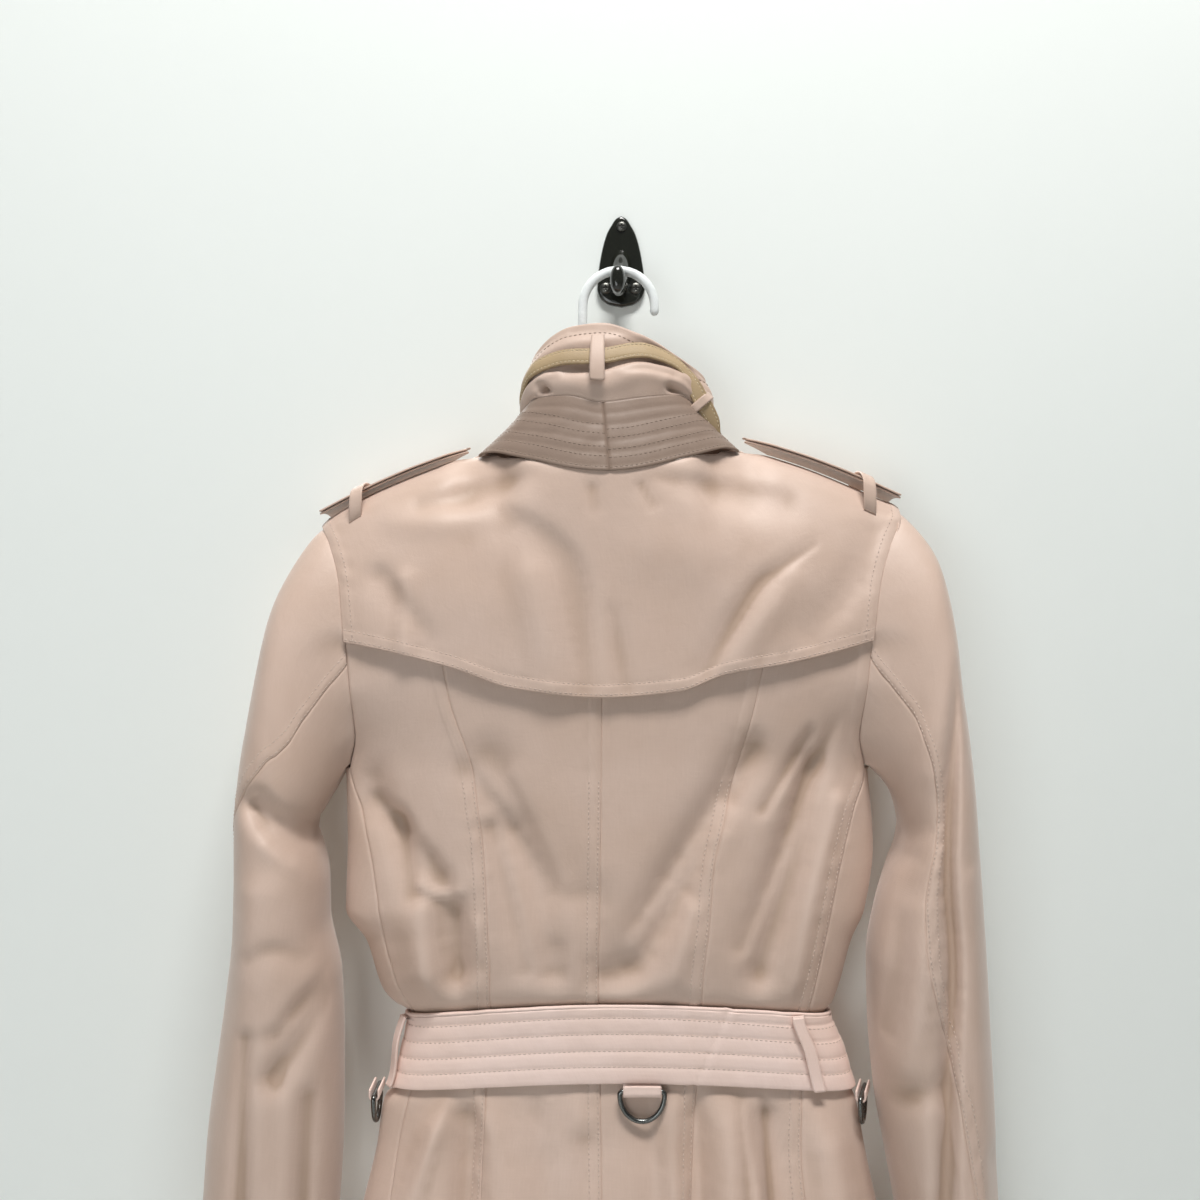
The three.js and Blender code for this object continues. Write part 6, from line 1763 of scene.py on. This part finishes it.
def flat_material(name, colour, roughness, see_through):
    """The paint of the wall or floor; a see-through one shows only from the front and casts no shadow."""
    tree, shader = new_material(name)
    mottle = grouped(tree, "soft_mottle", {"Place": object_place(tree), "Size": 2.0})
    base = blended(tree, mottle["Patches"], tint(colour, 0.985, 0.985, 0.985), tint(colour, 1.01, 1.01, 1.01))
    feed(tree, shader, {"Base Color": base, "Roughness": roughness,
                        "Normal": bumped(tree, mottle["Creasing"], 0.15, 0.0004)})
    if see_through:
        end = next(n for n in tree.nodes if n.type == "OUTPUT_MATERIAL")
        behind = maths(tree, "MAXIMUM", node(tree, "ShaderNodeNewGeometry").outputs["Backfacing"],
                       node(tree, "ShaderNodeLightPath").outputs["Is Shadow Ray"])
        clear = node(tree, "ShaderNodeBsdfTransparent").outputs[0]
        mix = node(tree, "ShaderNodeMixShader", {0: behind, 1: shader.outputs[0], 2: clear})
        tree.links.new(mix.outputs[0], end.inputs[0])
    return MATERIALS[name]


def stage_plane(name, corners, material):
    mesh = bpy.data.meshes.new(name)
    mesh.from_pydata(corners, [], [(0, 1, 2, 3)])
    mesh.materials.append(material)
    plane = bpy.data.objects.new(name, mesh)
    bpy.context.scene.collection.objects.link(plane)
    plane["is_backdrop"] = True


def area_light(name, place, aim, size, power, colour):
    data = bpy.data.lights.new(name, "AREA")
    data.shape = "RECTANGLE"
    data.size, data.size_y = size
    data.energy = power
    data.color = colour
    light = bpy.data.objects.new(name, data)
    light.location = place
    light.rotation_euler = (Vector(aim) - Vector(place)).to_track_quat("-Z", "Y").to_euler()
    bpy.context.scene.collection.objects.link(light)


def build_stage(stage):
    wall = flat_material("wall_paint", stage.wall, 0.7, True)
    floor = flat_material("floor_paint", stage.floor, 0.8, False)
    low, high, y = FLOOR_Z, WALL_TOP, WALL_Y
    stage_plane("stage_wall", [(-4, y, low), (4, y, low), (4, y, high), (-4, y, high)], wall)
    stage_plane("stage_floor", [(-4, -5, low), (4, -5, low), (4, 4, low), (-4, 4, low)], floor)
    for light in (
            ("key_light", (0.15, -0.98, 1.75), (0, -0.06, -0.5), (0.9, 0.4), stage.key_power,
             (1, 0.985, 0.96)),
            ("fill_light", (-0.8, -2.1, -0.6), (-0.1, -0.05, -0.6), (1.2, 1.2), stage.fill_power,
             (0.96, 0.99, 1)),
            ("back_light", (-0.5, 1.9, 1.0), (0, -0.05, -0.5), (1.2, 1.2), stage.back_power,
             (1, 0.99, 0.97))):
        area_light(*light)
    world = bpy.data.worlds.new("studio_world")
    world.use_nodes = True
    sky = world.node_tree.nodes["Background"]
    sky.inputs[0].default_value = (0.93, 0.97, 1.0, 1)
    sky.inputs[1].default_value = stage.world_strength
    bpy.context.scene.world = world
    bpy.context.scene.view_settings.view_transform = "Standard"
    data = bpy.data.cameras.new("camera")
    data.lens, data.sensor_width = LENS, SENSOR
    camera = bpy.data.objects.new("camera", data)
    camera.location = CAMERA
    camera.rotation_euler = (math.pi / 2, 0, 0)
    bpy.context.scene.collection.objects.link(camera)
    bpy.context.scene.camera = camera


# -------- settings, operators and panel


def colour_setting(name, text, default):
    return FloatVectorProperty(name=name, description=text, subtype="COLOR", default=default, min=0, max=1)


def power_setting(name, text, default):
    return FloatProperty(name=name, description=text, default=default, min=0)


class CoatLook(bpy.types.PropertyGroup):
    """Cloth thickness and the colours of the coat, its strap and its belt."""

    thickness: FloatProperty(name="Cloth", description="Thickness of the cloth in metres", default=0.0016,
                             min=0.0008, max=0.0022, unit="LENGTH")
    coat: colour_setting("Coat", "Colour of the coat's gabardine", (0.605, 0.458, 0.38))
    collar: colour_setting("Collar", "Colour of the collar", (0.585, 0.445, 0.37))
    # Painted shade: the collar band's colour is the collar cloth darkened for the shade under the leaf.
    shaded_stand: colour_setting("Stand", "Colour of the collar's stand", (0.27, 0.197, 0.155))
    # The belt's colour is much lighter than the coat's: partly the belt's own lighter tone, partly painted
    # light for the light it catches.
    belt: colour_setting("Belt", "Colour of the belt", (0.87, 0.68, 0.61))
    strap: colour_setting("Strap", "Colour of the neck strap", (0.40, 0.295, 0.175))


class StageLook(bpy.types.PropertyGroup):
    """Wall, floor and light."""

    wall: colour_setting("Wall", "Colour of the wall", (0.82, 0.86, 0.84))
    floor: colour_setting("Floor", "Colour of the floor", (0.66, 0.66, 0.64))
    key_power: power_setting("Key light", "Power of the overhead light in watts", 57)
    fill_power: power_setting("Fill light", "Power of the side light in watts", 11)
    back_power: power_setting("Back light", "Power of the light behind in watts", 26)
    world_strength: power_setting("Ambient", "Strength of the light from all round", 0.13)


class Step(bpy.types.Operator):
    """Common settings of the operators."""

    bl_options = {"REGISTER", "UNDO"}


def coat_look():
    return bpy.context.scene.coat_look


def stage_look():
    return bpy.context.scene.stage_look


def cloth():
    """The cloth's thickness in millimetres."""
    return coat_look().thickness / MM


def step(label, text, build, given=None):
    """An operator class named trench.LABEL that runs one build function on what it is given."""

    def execute(self, context):
        if given:
            build(given())
        else:
            build()
        return {"FINISHED"}

    return type(f"TRENCH_OT_{label}", (Step,), {
        "__doc__": text, "bl_idname": f"trench.{label}", "bl_label": text.rstrip("."), "execute": execute})


STEPS = [
    step("finishes", "Make the finishes.", make_materials, coat_look),
    step("back", "Build the back panels.", build_back, cloth),
    step("sides", "Build the side panels.", build_sides, cloth),
    step("fronts", "Build the fronts.", build_fronts, cloth),
    step("flap", "Build the storm flap.", build_flap, cloth),
    step("sleeves", "Build the sleeves.", build_sleeves, cloth),
    step("collar", "Build the collar.", build_collar, cloth),
    step("strap", "Build the neck strap.", build_strap, cloth),
    step("epaulettes", "Build the epaulettes.", build_epaulettes),
    step("belt", "Build the belt and its loops.", build_belt),
    step("rings", "Build the D-rings and their tabs.", build_rings),
    step("buttons", "Build the buttons.", build_buttons),
    step("buckle", "Build the buckle.", build_buckle),
    step("hanger", "Build the hanger.", build_hanger),
    step("hook", "Build the wall hook and its screws.", build_hook),
    step("stage", "Build the wall, floor, light and camera.", build_stage, stage_look),
]


class TRENCH_PT_panel(bpy.types.Panel):
    """Lists the sizes, the colours and the steps."""

    bl_label = "Trench coat"
    bl_idname = "TRENCH_PT_panel"
    bl_space_type = "VIEW_3D"
    bl_region_type = "UI"
    bl_category = "Trench coat"

    def draw(self, context):
        for group in (context.scene.coat_look, context.scene.stage_look):
            box = self.layout.box()
            for name in group.bl_rna.properties.keys():
                if name not in {"rna_type", "name"}:
                    box.prop(group, name)
        for made in STEPS:
            self.layout.operator(made.bl_idname)


CLASSES = [CoatLook, StageLook, *STEPS, TRENCH_PT_panel]


def register():
    for made in CLASSES:
        bpy.utils.register_class(made)
    bpy.types.Scene.coat_look = PointerProperty(type=CoatLook)
    bpy.types.Scene.stage_look = PointerProperty(type=StageLook)


def unregister():
    del bpy.types.Scene.coat_look
    del bpy.types.Scene.stage_look
    for made in reversed(CLASSES):
        bpy.utils.unregister_class(made)


def main():
    register()
    for made in STEPS:
        group, label = made.bl_idname.split(".")
        getattr(getattr(bpy.ops, group), label)()
    {"cad": CAD_BOX, "visual": [list(corner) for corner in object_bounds()]}


if __name__ == "__main__":
    main()
